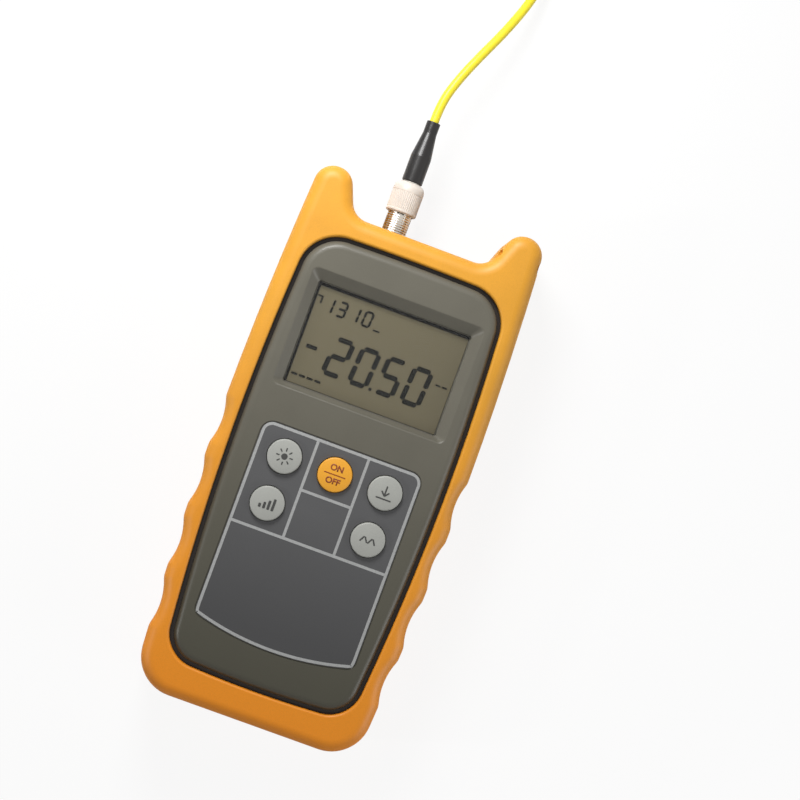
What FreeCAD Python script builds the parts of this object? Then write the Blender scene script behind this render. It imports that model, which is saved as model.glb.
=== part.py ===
"""Handheld optical power meter in a rubber boot, with a fibre lead plugged into it. Sizes in mm.

The meter lies on its back. +Z comes out of the front panel, +Y points to the connector end
and +X is to the right of someone reading the display. The origin is under the boot's middle.
"""

import FreeCAD, Part
import math
import os
from dataclasses import dataclass

from FreeCAD import Placement, Rotation, Vector

X_AXIS = Vector(1, 0, 0)
Y_AXIS = Vector(0, 1, 0)
Z_AXIS = Vector(0, 0, 1)

# Boot
BOOT_LENGTH = 175.0          # tip of the horns to the bottom edge
BOOT_WIDTH = 81.4            # over the grips, where the boot is widest
BOOT_DEPTH = 31.0
BOOT_WALL = 3.2              # sides
BOOT_BACK = 3.0
BOOT_END_WALL = 3.4
LIP_THICKNESS = 2.8
FLANK_RADIUS = 1216.0        # the flanks bulge very slightly
FLANK_BELLY_Y = 5.0
HORN_HEIGHT = 13.4           # above the boot's top edge
HORN_GAP_BASE = 45.0
HORN_GAP_TOP = 55.5
HORN_TIP_RADIUS = 6.0        # inner top corner of each horn
HORN_FOOT_RADIUS = 6.5
BOOT_FRONT_RADIUS = 4.2      # round edges of the front and of the back
BOOT_BACK_RADIUS = 3.0
SCOOP_COUNT = 4
SCOOP_PITCH = 20.4
SCOOP_FIRST_Y = -0.5
SCOOP_DEPTH = 1.4
SCOOP_CHORD = 15.4
RIDGE_RADIUS = 6.0
STRAP_HOLE_DIAMETER = 4.0
STRAP_HOLE_DROP = 3.8        # axis below the boot's front

# Front opening of the boot, and the raised front of the case inside it
LIP_SIDE = 5.5               # width of the lip beside the case, below it and above it
LIP_LOW = 11.9
LIP_HIGH = 7.5
LIP_EDGE_RADIUS = 0.8
OPENING_BELLY_Y = 6.0
OPENING_FLANK_RADIUS = 800.0
OPENING_BOW_LOW = 1.4
OPENING_BOW_HIGH = 0.7
PLATFORM_GAP = 1.3
PLATFORM_EDGE_RADIUS = 2.6

# Case
CASE_CLEARANCE = 0.2         # between the case and the boot's sides
CASE_WALL = 2.2
FRONT_WALL = 2.5
PARTING_Z = 17.0
FACE_Z = 31.5                # front face of the case
BOSS_DIAMETER = 7.0
CASE_SCREW_DIAMETER = 2.6
CASE_SCREW_HEAD = 5.2
SCREW_PLACES = ((-29.0, 60.5), (29.0, 60.5), (-27.5, -74.5), (27.5, -74.5))

# Display
RECESS_WIDTH = 57.6
RECESS_LOW = 16.4
RECESS_HIGH = 55.2
RECESS_DEPTH = 2.6
RECESS_EDGE_RADIUS = 0.7
WINDOW_WIDTH = 51.6
WINDOW_LOW = 17.8
WINDOW_HIGH = 51.8
WINDOW_THICKNESS = 1.0
WINDOW_LEDGE = 0.4           # how far the ledge reaches in under the window
LEDGE_THICKNESS = 1.0
GLASS_THICKNESS = 2.5
GLASS_MARGIN = 1.4           # how far the glass reaches out past the window
LCD_FRAME_WALL = 1.5
ZEBRA_WIDTH = 2.0
FIT = 0.1                    # clearance of pieces that are dropped into each other

# Keypad
LABEL_WIDTH = 53.2
LABEL_HIGH = 4.9
LABEL_LOW = -59.5
LABEL_BOW = 3.9
LABEL_CORNER = 4.0
LABEL_RECESS = 0.5
LABEL_GAP = 0.35             # seat outside the film's edge
LABEL_THICKNESS = 0.25
KEY_DIAMETER = 11.0
KEY_COLUMN = 16.8
KEY_ROW_HIGH = -4.3
KEY_ROW_LOW = -19.9
KEY_CLEARANCE = 0.25
KEY_PROUD = 1.1              # rim of the key above the face
KEY_DOME = 0.5
KEY_TRAVEL = 0.9
KEY_FLANGE = 0.9             # how far and how thick the flange under the wall is
KEY_STEM_DIAMETER = 5.0
MAT_THICKNESS = 1.2
COLLAR_HEIGHT = 3.0

# Boards
BOARD_TOP = 23.0
BOARD_THICKNESS = 1.6
BOARD_HALF_WIDTH = 30.5
BOARD_LOW = -62.0
BOARD_HIGH = 57.5
BOARD_SCREW_PLACES = ((-27.8, 9.5), (27.8, 9.5), (-27.8, -57.5), (27.8, -57.5))
BOARD_SCREW_DIAMETER = 2.0

# Battery compartment
CELL_DIAMETER = 14.3
CELL_LENGTH = 50.0
CELL_COUNT = 3
CELL_PITCH = 14.8
CELL_GAP = 0.3               # cell to door and to ceiling
CELL_LOW = -67.0
TRAY_WALL = 1.6
TRAY_ROOF = 1.3
CONTACT_ROOM = 2.6
CONTACT_THICKNESS = 0.4
DOOR_THICKNESS = 1.8
DOOR_GAP = 0.25
DOOR_SEAT = 0.6              # how far the door reaches over the tray's walls
HINGE_Y = -73.6
HINGE_BEAD_RADIUS = 1.4
HINGE_PIN_RADIUS = 0.75
HINGE_PIN_LENGTH = 1.6
HINGE_CLEARANCE = 0.1
BACK_WINDOW_MARGIN = 4.0     # boot window outside the door

# Connector end
CONNECTOR_X = -8.8
CONNECTOR_Z = 16.0
PANEL_HALF_WIDTH = 17.5
PANEL_LOW = 8.0
PANEL_HIGH = 24.0
PANEL_LIP = 1.5
FLANGE_WIDTH = 14.6
FLANGE_HEIGHT = 12.0
FLANGE_THICKNESS = 2.0
BARREL_DIAMETER = 8.0
BARREL_REACH = 15.9          # past the case's top
SPIGOT_DIAMETER = 9.0
SPIGOT_LENGTH = 9.0          # behind the flange
SLEEVE_DIAMETER = 3.2
SLEEVE_LENGTH = 10.5
FERRULE_DIAMETER = 2.5
FERRULE_SLACK = 0.02
CAN_DIAMETER = 5.4
CAN_LENGTH = 3.6
DETECTOR_BOARD_THICKNESS = 1.2

# Plug, measured along its axis from the ferrule's tip towards the lead
PLUG_INSET = 2.7             # how far the tip sits in past the case's top
PLUG_FRONT = 11.0            # front of the metal core
PLUG_CORE_DIAMETER = 5.4
PLUG_COLLAR = 19.2           # collar that the nut pulls on
PLUG_COLLAR_DIAMETER = 7.0
PLUG_COLLAR_LENGTH = 2.0
PLUG_NECK_DIAMETER = 5.8
PLUG_CRIMP_DIAMETER = 4.8
PLUG_CRIMP_LENGTH = 7.0
NUT_START = 13.6
NUT_LENGTH = 10.3
NUT_DIAMETER = 10.2
NUT_RUNNING_FIT = 0.1
RELIEF_GAP = 0.4             # running gap between the nut and the strain relief
RELIEF_LENGTH = 20.7
RELIEF_DIAMETER = 6.8
RELIEF_TAIL_DIAMETER = 4.5
CAP_DIAMETER = 4.9
CAP_LENGTH = 14.5
CAP_CLEARANCE = 0.06

# Fibre lead
LEAD_DIAMETER = 3.0
LEAD_STRAIGHT = 6.4          # before the first bend
LEAD_BENDS = (               # x, way past the strain relief, z
    (-6.6, 14.7, 15.6),
    (-2.6, 24.7, 14.2),
    (2.8, 36.7, 11.2),
    (8.0, 49.7, 7.2),
    (11.6, 63.2, 3.6),
    (13.2, 76.7, 1.9),
    (13.5, 90.2, 1.6),
)
COIL_MIDDLE = (30.0, 95.2)
COIL_RADIUS = 16.5           # middle of the turns
COIL_LAYERS = 3              # turns side by side, and turns on top of each other
TIE_WIDTH = 5.0
TIE_THICKNESS = 0.8
TAIL_BENDS = (
    (31.0, 111.6, 4.6),
    (38.5, 113.2, 5.15),
    (46.5, 113.2, 5.15),
)


@dataclass(frozen=True)
class Plan:
    """Outline seen from the front: two slightly bulging flanks and two ends with round corners."""

    half_width: float
    belly_y: float
    flank_radius: float
    low: float
    high: float
    low_corner: float
    high_corner: float
    low_bow: float = 0.0
    high_bow: float = 0.0

    def inset(self, by, low=None, high=None):
        """The same outline moved inwards; low and high may set their own ends."""
        return Plan(
            self.half_width - by,
            self.belly_y,
            self.flank_radius - by,
            self.low + by if low is None else low,
            self.high - by if high is None else high,
            self.low_corner - by,
            self.high_corner - by,
            self.low_bow,
            self.high_bow,
        )

    def flank_x(self, y):
        """Half width at height y."""
        if math.isinf(self.flank_radius):
            return self.half_width
        drop = math.sqrt(self.flank_radius**2 - (y - self.belly_y) ** 2)
        return self.half_width - self.flank_radius + drop

    def prism(self, bottom, top):
        """Solid with this outline between two heights."""
        right_low = Vector(self.flank_x(self.low), self.low, bottom)
        right_high = Vector(self.flank_x(self.high), self.high, bottom)
        left_high = Vector(-right_high.x, self.high, bottom)
        left_low = Vector(-right_low.x, self.low, bottom)
        belly = Vector(self.half_width, self.belly_y, bottom)
        edges = [
            bowed_edge(right_low, right_high, belly),
            bowed_edge(right_high, left_high, Vector(0, self.high + self.high_bow, bottom)),
            bowed_edge(left_high, left_low, Vector(-belly.x, belly.y, bottom)),
            bowed_edge(left_low, right_low, Vector(0, self.low - self.low_bow, bottom)),
        ]
        solid = Part.Face(Part.Wire(edges)).extrude(Z_AXIS * (top - bottom))
        solid = round_uprights(solid, self.high_corner, lambda p: p.y > 0)
        return round_uprights(solid, self.low_corner, lambda p: p.y < 0)


def bowed_edge(start, end, middle):
    """Line from start to end, or an arc when its middle stands off that line."""
    if middle.distanceToLine(start, end - start) < 1e-6:
        return Part.LineSegment(start, end).toShape()
    return Part.Arc(start, middle, end).toShape()


def round_uprights(solid, radius, wanted):
    """Round the vertical edges whose place is wanted."""
    chosen = []
    for edge in solid.Edges:
        if len(edge.Vertexes) != 2:
            continue
        start, end = (vertex.Point for vertex in edge.Vertexes)
        if abs((end - start).x) < 1e-6 and abs((end - start).y) < 1e-6 and wanted(start):
            chosen.append(edge)
    return solid.makeFillet(radius, chosen)


def edges_at_height(solid, z, wanted=lambda p: True):
    """Edges that lie flat at height z and whose middle is wanted."""
    box_flat = [e for e in solid.Edges if abs(e.BoundBox.ZMin - z) + abs(e.BoundBox.ZMax - z) < 1e-5]
    return [edge for edge in box_flat if wanted(edge.CenterOfMass)]


def block(x_span, y_span, z_span):
    """Box between three pairs of limits."""
    size = [span[1] - span[0] for span in (x_span, y_span, z_span)]
    return Part.makeBox(*size, Vector(x_span[0], y_span[0], z_span[0]))


def rounded_block(x_span, y_span, z_span, corner):
    """Box with round vertical corners."""
    return round_uprights(block(x_span, y_span, z_span), corner, lambda p: True)


def centred(half):
    """Pair of limits either side of zero."""
    return (-half, half)


def about(middle, half):
    """Pair of limits either side of a middle."""
    return (middle - half, middle + half)


def grown(span, by):
    """Pair of limits moved apart."""
    return (span[0] - by, span[1] + by)


def rod(diameter, start, axis, length):
    """Cylinder from a start point along an axis."""
    return Part.makeCylinder(diameter / 2, length, start, axis)


def upright(diameter, place, z_span):
    """Vertical cylinder at an (x, y) place."""
    return rod(diameter, Vector(place[0], place[1], z_span[0]), Z_AXIS, z_span[1] - z_span[0])


def turned(profile):
    """Solid turned about the Y axis from a closed outline of (distance along, radius) points."""
    points = [Vector(radius, along, 0) for along, radius in profile]
    return Part.Face(Part.makePolygon(points + points[:1])).revolve(Vector(), Y_AXIS, 360)


def fuse_all(shapes):
    """One clean solid from touching shapes."""
    return shapes[0].multiFuse(shapes[1:]).removeSplitter()


# Outlines that several pieces share

BOOT_LOW = -BOOT_LENGTH / 2
BOOT_TOP = BOOT_LENGTH / 2 - HORN_HEIGHT
BOOT_PLAN = Plan(
    BOOT_WIDTH / 2, FLANK_BELLY_Y, FLANK_RADIUS, BOOT_LOW, BOOT_LENGTH / 2, 13.0, 6.2
)
CAVITY_PLAN = BOOT_PLAN.inset(BOOT_WALL, BOOT_LOW + BOOT_END_WALL, BOOT_TOP - BOOT_END_WALL)
CASE_PLAN = Plan(
    CAVITY_PLAN.half_width - CASE_CLEARANCE,
    FLANK_BELLY_Y,
    FLANK_RADIUS - BOOT_WALL - CASE_CLEARANCE,
    CAVITY_PLAN.low + CASE_CLEARANCE,
    CAVITY_PLAN.high - CASE_CLEARANCE,
    11.0,
    12.0,
)
OPENING_PLAN = Plan(
    BOOT_WIDTH / 2 - LIP_SIDE,
    OPENING_BELLY_Y,
    OPENING_FLANK_RADIUS,
    BOOT_LOW + LIP_LOW,
    BOOT_TOP - LIP_HIGH,
    11.0,
    13.0,
    OPENING_BOW_LOW,
    OPENING_BOW_HIGH,
)
PLATFORM_PLAN = OPENING_PLAN.inset(PLATFORM_GAP)
CASE_BACK_Z = BOOT_BACK
LIP_UNDERSIDE = BOOT_DEPTH - LIP_THICKNESS
SHOULDER_Z = LIP_UNDERSIDE - CASE_CLEARANCE
INNER_FACE_Z = FACE_Z - FRONT_WALL
CASE_TOP_Y = CASE_PLAN.high
KEY_PLACES = {
    "light_key": (-KEY_COLUMN, KEY_ROW_HIGH),
    "power_key": (0.0, KEY_ROW_HIGH),
    "reference_key": (KEY_COLUMN, KEY_ROW_HIGH),
    "units_key": (-KEY_COLUMN, KEY_ROW_LOW),
    "wavelength_key": (KEY_COLUMN, KEY_ROW_LOW),
}

# Battery compartment, from its cells outwards
CELL_Z = CASE_BACK_Z + CASE_WALL - 0.2 + CELL_GAP + CELL_DIAMETER / 2
TRAY_CEILING = CELL_Z + CELL_DIAMETER / 2 + CELL_GAP
TRAY_HALF = (CELL_COUNT - 1) * CELL_PITCH / 2 + CELL_DIAMETER / 2 + 0.5
TRAY_Y = (CELL_LOW - CONTACT_ROOM, CELL_LOW + CELL_LENGTH + CONTACT_ROOM)
DOOR_HALF = TRAY_HALF + DOOR_SEAT
DOOR_LOW = HINGE_Y - HINGE_BEAD_RADIUS
DOOR_HIGH = TRAY_Y[1] + DOOR_SEAT
HINGE_Z = CASE_BACK_Z + HINGE_BEAD_RADIUS

# Connector end, outwards from the case's top
BARREL_END = CASE_TOP_Y + BARREL_REACH
PLUG_TIP = CASE_TOP_Y - PLUG_INSET
PLUG_LENGTH = NUT_START + NUT_LENGTH + RELIEF_GAP + RELIEF_LENGTH
LEAD_START = PLUG_TIP + PLUG_LENGTH
LEAD_ROUTE = (
    (CONNECTOR_X, LEAD_START, CONNECTOR_Z),
    (CONNECTOR_X, LEAD_START + LEAD_STRAIGHT, CONNECTOR_Z),
    *((x, LEAD_START + y, z) for x, y, z in LEAD_BENDS),
)
TAIL_ROUTE = tuple((x, LEAD_START + y, z) for x, y, z in TAIL_BENDS)
COIL_CENTRE = (COIL_MIDDLE[0], LEAD_START + COIL_MIDDLE[1])


def make_boot():
    """Rubber boot: body with two horns, scooped grips, lip, and windows for the panel and door."""
    body = BOOT_PLAN.prism(0, BOOT_DEPTH).cut([horn_gap()] + grip_scoops())
    body = round_uprights(body, HORN_TIP_RADIUS, on_horn_tip)
    body = round_uprights(body, RIDGE_RADIUS, on_grip_ridge)
    body = body.makeFillet(BOOT_BACK_RADIUS, edges_at_height(body, 0))
    body = body.makeFillet(BOOT_FRONT_RADIUS, edges_at_height(body, BOOT_DEPTH))
    hollow = CAVITY_PLAN.prism(BOOT_BACK, LIP_UNDERSIDE)
    opening = OPENING_PLAN.prism(LIP_UNDERSIDE - 1, BOOT_DEPTH + 1)
    back_window = rounded_block(
        centred(DOOR_HALF + BACK_WINDOW_MARGIN),
        (DOOR_LOW - BACK_WINDOW_MARGIN, DOOR_HIGH + BACK_WINDOW_MARGIN),
        (-1, BOOT_BACK + 1),
        5.0,
    )
    panel_window = block(
        centred(PANEL_HALF_WIDTH + 0.5), (CASE_TOP_Y - 1, BOOT_TOP + 1), (PANEL_LOW - 0.5, PANEL_HIGH + 0.5)
    )
    strap_hole = rod(STRAP_HOLE_DIAMETER, strap_hole_start(), X_AXIS, 30)
    body = body.cut([hollow, opening, back_window, panel_window, strap_hole])
    return body.makeFillet(LIP_EDGE_RADIUS, edges_at_height(body, BOOT_DEPTH, on_opening))


def on_opening(point):
    """Whether a point is on or inside the front opening's outline."""
    beside = abs(point.x) < OPENING_PLAN.half_width + 0.01
    low = OPENING_PLAN.low - OPENING_BOW_LOW - 0.01
    return beside and low < point.y < OPENING_PLAN.high + OPENING_BOW_HIGH + 0.01


def horn_gap():
    """The bay between the horns, wider at its mouth, with a round foot to each horn."""
    mouth = BOOT_LENGTH / 2 + 1
    slope = (HORN_GAP_TOP - HORN_GAP_BASE) / 2 / HORN_HEIGHT
    mouth_half = HORN_GAP_BASE / 2 + slope * (mouth - BOOT_TOP)
    foot = HORN_GAP_BASE / 2
    corners = [(-mouth_half, mouth), (-foot, BOOT_TOP), (foot, BOOT_TOP), (mouth_half, mouth)]
    points = [Vector(x, y, -1) for x, y in corners]
    bay = Part.Face(Part.makePolygon(points + points[:1])).extrude(Z_AXIS * (BOOT_DEPTH + 2))
    return round_uprights(bay, HORN_FOOT_RADIUS, lambda p: p.y < BOOT_TOP + 0.5)


def on_horn_tip(point):
    """Whether a point is at the inner top corner of a horn."""
    return abs(point.x) < HORN_GAP_TOP / 2 + 0.5 and point.y > BOOT_LENGTH / 2 - 0.5


def strap_hole_start():
    """Inner side of the right horn, near its foot and near the front, so that the mouth shows."""
    return Vector(HORN_GAP_BASE / 2 - 4, BOOT_TOP + 5.0, BOOT_DEPTH - STRAP_HOLE_DROP)


def grip_scoops():
    """Shallow cylinders that leave grip ridges between them on both flanks."""
    radius = ((SCOOP_CHORD / 2) ** 2 + SCOOP_DEPTH**2) / (2 * SCOOP_DEPTH)
    scoops = []
    for index in range(SCOOP_COUNT):
        y = SCOOP_FIRST_Y - index * SCOOP_PITCH
        reach = BOOT_PLAN.flank_x(y) - SCOOP_DEPTH + radius
        for side in (-1, 1):
            scoops.append(upright(2 * radius, (side * reach, y), (-1, BOOT_DEPTH + 1)))
    return scoops


def on_grip_ridge(point):
    """Whether a point is on an edge between a scoop and the flank."""
    last = SCOOP_FIRST_Y - (SCOOP_COUNT - 1) * SCOOP_PITCH
    beside = abs(point.x) > BOOT_PLAN.half_width - 2 * SCOOP_DEPTH - 1
    return beside and last - SCOOP_CHORD < point.y < SCOOP_FIRST_Y + SCOOP_CHORD


def make_front_case():
    """Front half of the case: a shell with the raised face, display recess and key holes."""
    skirt = CASE_PLAN.prism(PARTING_Z, SHOULDER_Z)
    platform = PLATFORM_PLAN.prism(SHOULDER_Z - 1, FACE_Z)
    platform = platform.makeFillet(PLATFORM_EDGE_RADIUS, edges_at_height(platform, FACE_Z))
    shell = skirt.fuse(platform)
    shell = shell.cut(CASE_PLAN.inset(CASE_WALL).prism(PARTING_Z - 1, SHOULDER_Z - CASE_WALL))
    shell = shell.cut(PLATFORM_PLAN.inset(CASE_WALL).prism(SHOULDER_Z - CASE_WALL - 1, INNER_FACE_Z))
    shell = shell.fuse([display_bezel()] + front_bosses())
    cuts = display_cuts() + keypad_cuts() + front_boss_holes() + [panel_notch()]
    shell = shell.cut(cuts).removeSplitter()
    return shell.makeFillet(RECESS_EDGE_RADIUS, edges_at_height(shell, FACE_Z, on_recess))


def on_recess(point):
    """Whether a point is on the outer edge of the display recess."""
    inside = abs(point.x) < RECESS_WIDTH / 2 + 0.01
    return inside and RECESS_LOW - 0.01 < point.y < RECESS_HIGH + 0.01


def display_bezel():
    """Thick rim inside the face that carries the window's ledge and holds the display's frame."""
    rim = grown((WINDOW_LOW, WINDOW_HIGH), GLASS_MARGIN + LCD_FRAME_WALL)
    half = WINDOW_WIDTH / 2 + GLASS_MARGIN + LCD_FRAME_WALL
    return block(centred(half), rim, (ledge_z(), INNER_FACE_Z + 0.5))


def window_z():
    """Underside of the display window."""
    return FACE_Z - RECESS_DEPTH - WINDOW_THICKNESS


def ledge_z():
    """Underside of the ledge that the window rests on."""
    return window_z() - LEDGE_THICKNESS


def display_cuts():
    """Bevelled recess, window seat and the aperture in the ledge."""
    outer = rounded_block(centred(RECESS_WIDTH / 2), (RECESS_LOW, RECESS_HIGH), (FACE_Z, FACE_Z + 1), 2.0)
    inner = rounded_block(
        centred(WINDOW_WIDTH / 2), (WINDOW_LOW, WINDOW_HIGH), (FACE_Z - RECESS_DEPTH, FACE_Z), 1.0
    )
    wires = [lowest_wire(outer), lowest_wire(inner)]
    bevel = Part.makeLoft(wires, True, True)
    seat = block(centred(WINDOW_WIDTH / 2), (WINDOW_LOW, WINDOW_HIGH), (window_z(), FACE_Z))
    aperture = block(
        centred(WINDOW_WIDTH / 2 - WINDOW_LEDGE),
        grown((WINDOW_LOW, WINDOW_HIGH), -WINDOW_LEDGE),
        (ledge_z() - 1, FACE_Z),
    )
    return [outer, bevel, round_uprights(seat, 1.0, lambda p: True), aperture]


def lowest_wire(solid):
    """Outer wire of a solid's bottom face."""
    return min(solid.Faces, key=lambda face: face.CenterOfMass.z).OuterWire


def label_plan(margin):
    """Outline of the keypad label, grown by a margin: straight sides and a bowed foot."""
    half = LABEL_WIDTH / 2 + margin
    foot = LABEL_LOW - margin
    return Plan(
        half, 0.0, math.inf, foot, LABEL_HIGH + margin, LABEL_CORNER - 1 + margin, LABEL_CORNER + margin,
        LABEL_BOW, 0.0,
    )


def keypad_cuts():
    """Shallow seat of the label, and a hole for each key."""
    seat = label_plan(LABEL_GAP).prism(FACE_Z - LABEL_RECESS, FACE_Z + 1)
    bore = KEY_DIAMETER + 2 * KEY_CLEARANCE
    holes = [upright(bore, place, (INNER_FACE_Z - 1, FACE_Z + 1)) for place in KEY_PLACES.values()]
    return [seat] + holes


def front_bosses():
    """Posts for the case screws and the board's screws."""
    case_posts = [upright(BOSS_DIAMETER, place, (PARTING_Z, SHOULDER_Z - 0.5)) for place in SCREW_PLACES]
    board_posts = [upright(5.0, place, (BOARD_TOP, INNER_FACE_Z + 0.5)) for place in BOARD_SCREW_PLACES]
    return case_posts + board_posts


def front_boss_holes():
    """Blind holes that the screws cut their threads in."""
    case_holes = [
        upright(CASE_SCREW_DIAMETER, place, (PARTING_Z - 1, INNER_FACE_Z - 3.5)) for place in SCREW_PLACES
    ]
    board_span = (BOARD_TOP - 1, INNER_FACE_Z - 1)
    board_holes = [upright(BOARD_SCREW_DIAMETER, place, board_span) for place in BOARD_SCREW_PLACES]
    return case_holes + board_holes


def panel_notch():
    """Room for the end panel, and for the lip behind it, in the top wall of both halves."""
    wall = (CASE_TOP_Y - CASE_WALL - 0.01, CASE_TOP_Y + 1)
    notch = block(centred(PANEL_HALF_WIDTH + FIT), wall, (PANEL_LOW - FIT, PANEL_HIGH + FIT))
    return notch


def make_rear_case():
    """Rear half of the case: a tub with the battery tray, door pivots and screw posts."""
    tub = CASE_PLAN.prism(CASE_BACK_Z, PARTING_Z)
    tub = tub.makeFillet(2.0, edges_at_height(tub, CASE_BACK_Z))
    tub = tub.cut(CASE_PLAN.inset(CASE_WALL).prism(CASE_BACK_Z + CASE_WALL, PARTING_Z + 1))
    posts = [upright(BOSS_DIAMETER, place, (CASE_BACK_Z + 1, PARTING_Z)) for place in SCREW_PLACES]
    tub = tub.fuse(posts + [tray_block()] + hinge_lugs())
    return tub.cut(tray_cuts() + rear_screw_holes() + [panel_notch(), hinge_socket()]).removeSplitter()


def tray_block():
    """Outside of the battery tray and of the trough for the door's hinge, before they are hollowed."""
    half = TRAY_HALF + TRAY_WALL
    tray = block(centred(half), grown(TRAY_Y, TRAY_WALL), (CASE_BACK_Z + 1, TRAY_CEILING + TRAY_ROOF))
    trough_top = HINGE_Z + HINGE_BEAD_RADIUS + TRAY_WALL
    trough = block(
        centred(half), (DOOR_LOW - DOOR_GAP - TRAY_WALL, TRAY_Y[0]), (CASE_BACK_Z + 1, trough_top)
    )
    return tray.fuse(trough)


def tray_cuts():
    """Room for the cells, the seat of the door, and the trough that its round edge turns in."""
    room = block(centred(TRAY_HALF), TRAY_Y, (CASE_BACK_Z - 1, TRAY_CEILING))
    seat = block(
        centred(DOOR_HALF + DOOR_GAP),
        (DOOR_LOW - DOOR_GAP, DOOR_HIGH + DOOR_GAP),
        (CASE_BACK_Z - 1, CASE_BACK_Z + CASE_WALL),
    )
    trough_start = Vector(-DOOR_HALF - DOOR_GAP, HINGE_Y, HINGE_Z)
    trough = rod(2 * (HINGE_BEAD_RADIUS + DOOR_GAP), trough_start, X_AXIS, 2 * (DOOR_HALF + DOOR_GAP))
    return [room, seat, trough]


def hinge_lugs():
    """Lugs inside the back, outside the door's two ends, that hold its pins."""
    inner = DOOR_HALF + DOOR_GAP
    y_span = about(HINGE_Y, 2.2)
    z_span = (CASE_BACK_Z + 1, HINGE_Z + 2.2)
    right = block((inner, inner + 3.0), y_span, z_span)
    left = block((-inner - 3.0, -inner), y_span, z_span)
    return [left, right]


def hinge_socket():
    """Cross hole that the door's pins turn in."""
    half = DOOR_HALF + HINGE_PIN_LENGTH + HINGE_CLEARANCE
    return rod(2 * (HINGE_PIN_RADIUS + HINGE_CLEARANCE), Vector(-half, HINGE_Y, HINGE_Z), X_AXIS, 2 * half)


def rear_screw_holes():
    """Stepped clearance holes for the case screws."""
    holes = []
    for place in SCREW_PLACES:
        holes.append(upright(CASE_SCREW_DIAMETER + 0.4, place, (CASE_BACK_Z - 1, PARTING_Z + 1)))
        holes.append(upright(CASE_SCREW_HEAD + 0.4, place, (CASE_BACK_Z - 1, CASE_BACK_Z + 3.5)))
    return holes


def make_door():
    """Battery door: a plate with a round hinged edge, two pins, a latch bead and a thumb scoop."""
    z_span = (CASE_BACK_Z, CASE_BACK_Z + DOOR_THICKNESS)
    plate = block(centred(DOOR_HALF), (HINGE_Y, DOOR_HIGH), z_span)
    bead_start = Vector(-DOOR_HALF, HINGE_Y, HINGE_Z)
    bead = rod(2 * HINGE_BEAD_RADIUS, bead_start, X_AXIS, 2 * DOOR_HALF)
    pin_start = Vector(-DOOR_HALF - HINGE_PIN_LENGTH, HINGE_Y, HINGE_Z)
    pins = rod(2 * HINGE_PIN_RADIUS, pin_start, X_AXIS, 2 * (DOOR_HALF + HINGE_PIN_LENGTH))
    thumb = rod(24.0, Vector(0, DOOR_HIGH - 7, CASE_BACK_Z - 11.0), X_AXIS, 8)
    thumb.translate(Vector(-4, 0, 0))
    door = plate.fuse([bead, pins]).cut(thumb)
    ribs = [
        block(about(x, 0.4), (TRAY_Y[0] + 3, TRAY_Y[1] - 3), (z_span[1], z_span[1] + 1.5))
        for x in (-CELL_PITCH / 2, CELL_PITCH / 2)
    ]
    return fuse_all([door] + ribs)


def make_cells():
    """Three AA cells side by side, the middle one turned round."""
    cells = {}
    for index in range(CELL_COUNT):
        x = (index - (CELL_COUNT - 1) / 2) * CELL_PITCH
        can = rod(CELL_DIAMETER, Vector(x, CELL_LOW, CELL_Z), Y_AXIS, CELL_LENGTH - 1.5)
        nub = rod(5.4, Vector(x, CELL_LOW + CELL_LENGTH - 1.5, CELL_Z), Y_AXIS, 1.5)
        cell = can.fuse(nub)
        if index % 2:
            cell.rotate(Vector(x, CELL_LOW + CELL_LENGTH / 2, CELL_Z), Z_AXIS, 180)
        cells[f"battery_cell_{index + 1}"] = cell.removeSplitter()
    return cells


def make_leaf_contacts():
    """Bowed leaf springs between the tray's low end and the cells."""
    leaves = []
    for index in range(CELL_COUNT):
        x = (index - (CELL_COUNT - 1) / 2) * CELL_PITCH
        leaves.append(leaf_spring(x))
    return Part.makeCompound(leaves)


def leaf_spring(x):
    """Strip that stands on the tray's wall and bows out to the cell."""
    low = TRAY_Y[0]
    bow = CONTACT_ROOM - FIT
    foot = 1.0
    side = [Vector(x - 3, low, CELL_Z + dz) for dz in (-5.0, 5.0, 5.0 - foot, foot - 5.0)]
    outer_middle = Vector(x - 3, low + bow, CELL_Z)
    inner_middle = Vector(x - 3, low + bow - CONTACT_THICKNESS, CELL_Z)
    outline = [
        bowed_edge(side[0], side[1], outer_middle),
        Part.LineSegment(side[1], side[2]).toShape(),
        bowed_edge(side[2], side[3], inner_middle),
        Part.LineSegment(side[3], side[0]).toShape(),
    ]
    return Part.Face(Part.Wire(outline)).extrude(X_AXIS * 6)


def make_end_plates():
    """Flat contact plates at the tray's high end, each with a round pad to its cell."""
    plates = []
    high = TRAY_Y[1]
    for index in range(CELL_COUNT):
        x = (index - (CELL_COUNT - 1) / 2) * CELL_PITCH
        plate = block(about(x, 5.0), (high - CONTACT_THICKNESS, high), about(CELL_Z, 5.0))
        pad = rod(5.0, Vector(x, high - CONTACT_ROOM + FIT, CELL_Z), Y_AXIS, CONTACT_ROOM - FIT)
        plates.append(fuse_all([plate, pad]))
    return Part.makeCompound(plates)


def make_window():
    """Clear display window, dropped into its seat."""
    y_span = grown((WINDOW_LOW, WINDOW_HIGH), -FIT)
    solid = block(centred(WINDOW_WIDTH / 2 - FIT), y_span, (window_z(), FACE_Z - RECESS_DEPTH))
    return round_uprights(solid, 1.0 - FIT, lambda p: True)


def glass_spans():
    """Width and length limits of the display glass."""
    return centred(WINDOW_WIDTH / 2 + GLASS_MARGIN), grown((WINDOW_LOW, WINDOW_HIGH), GLASS_MARGIN)


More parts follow.
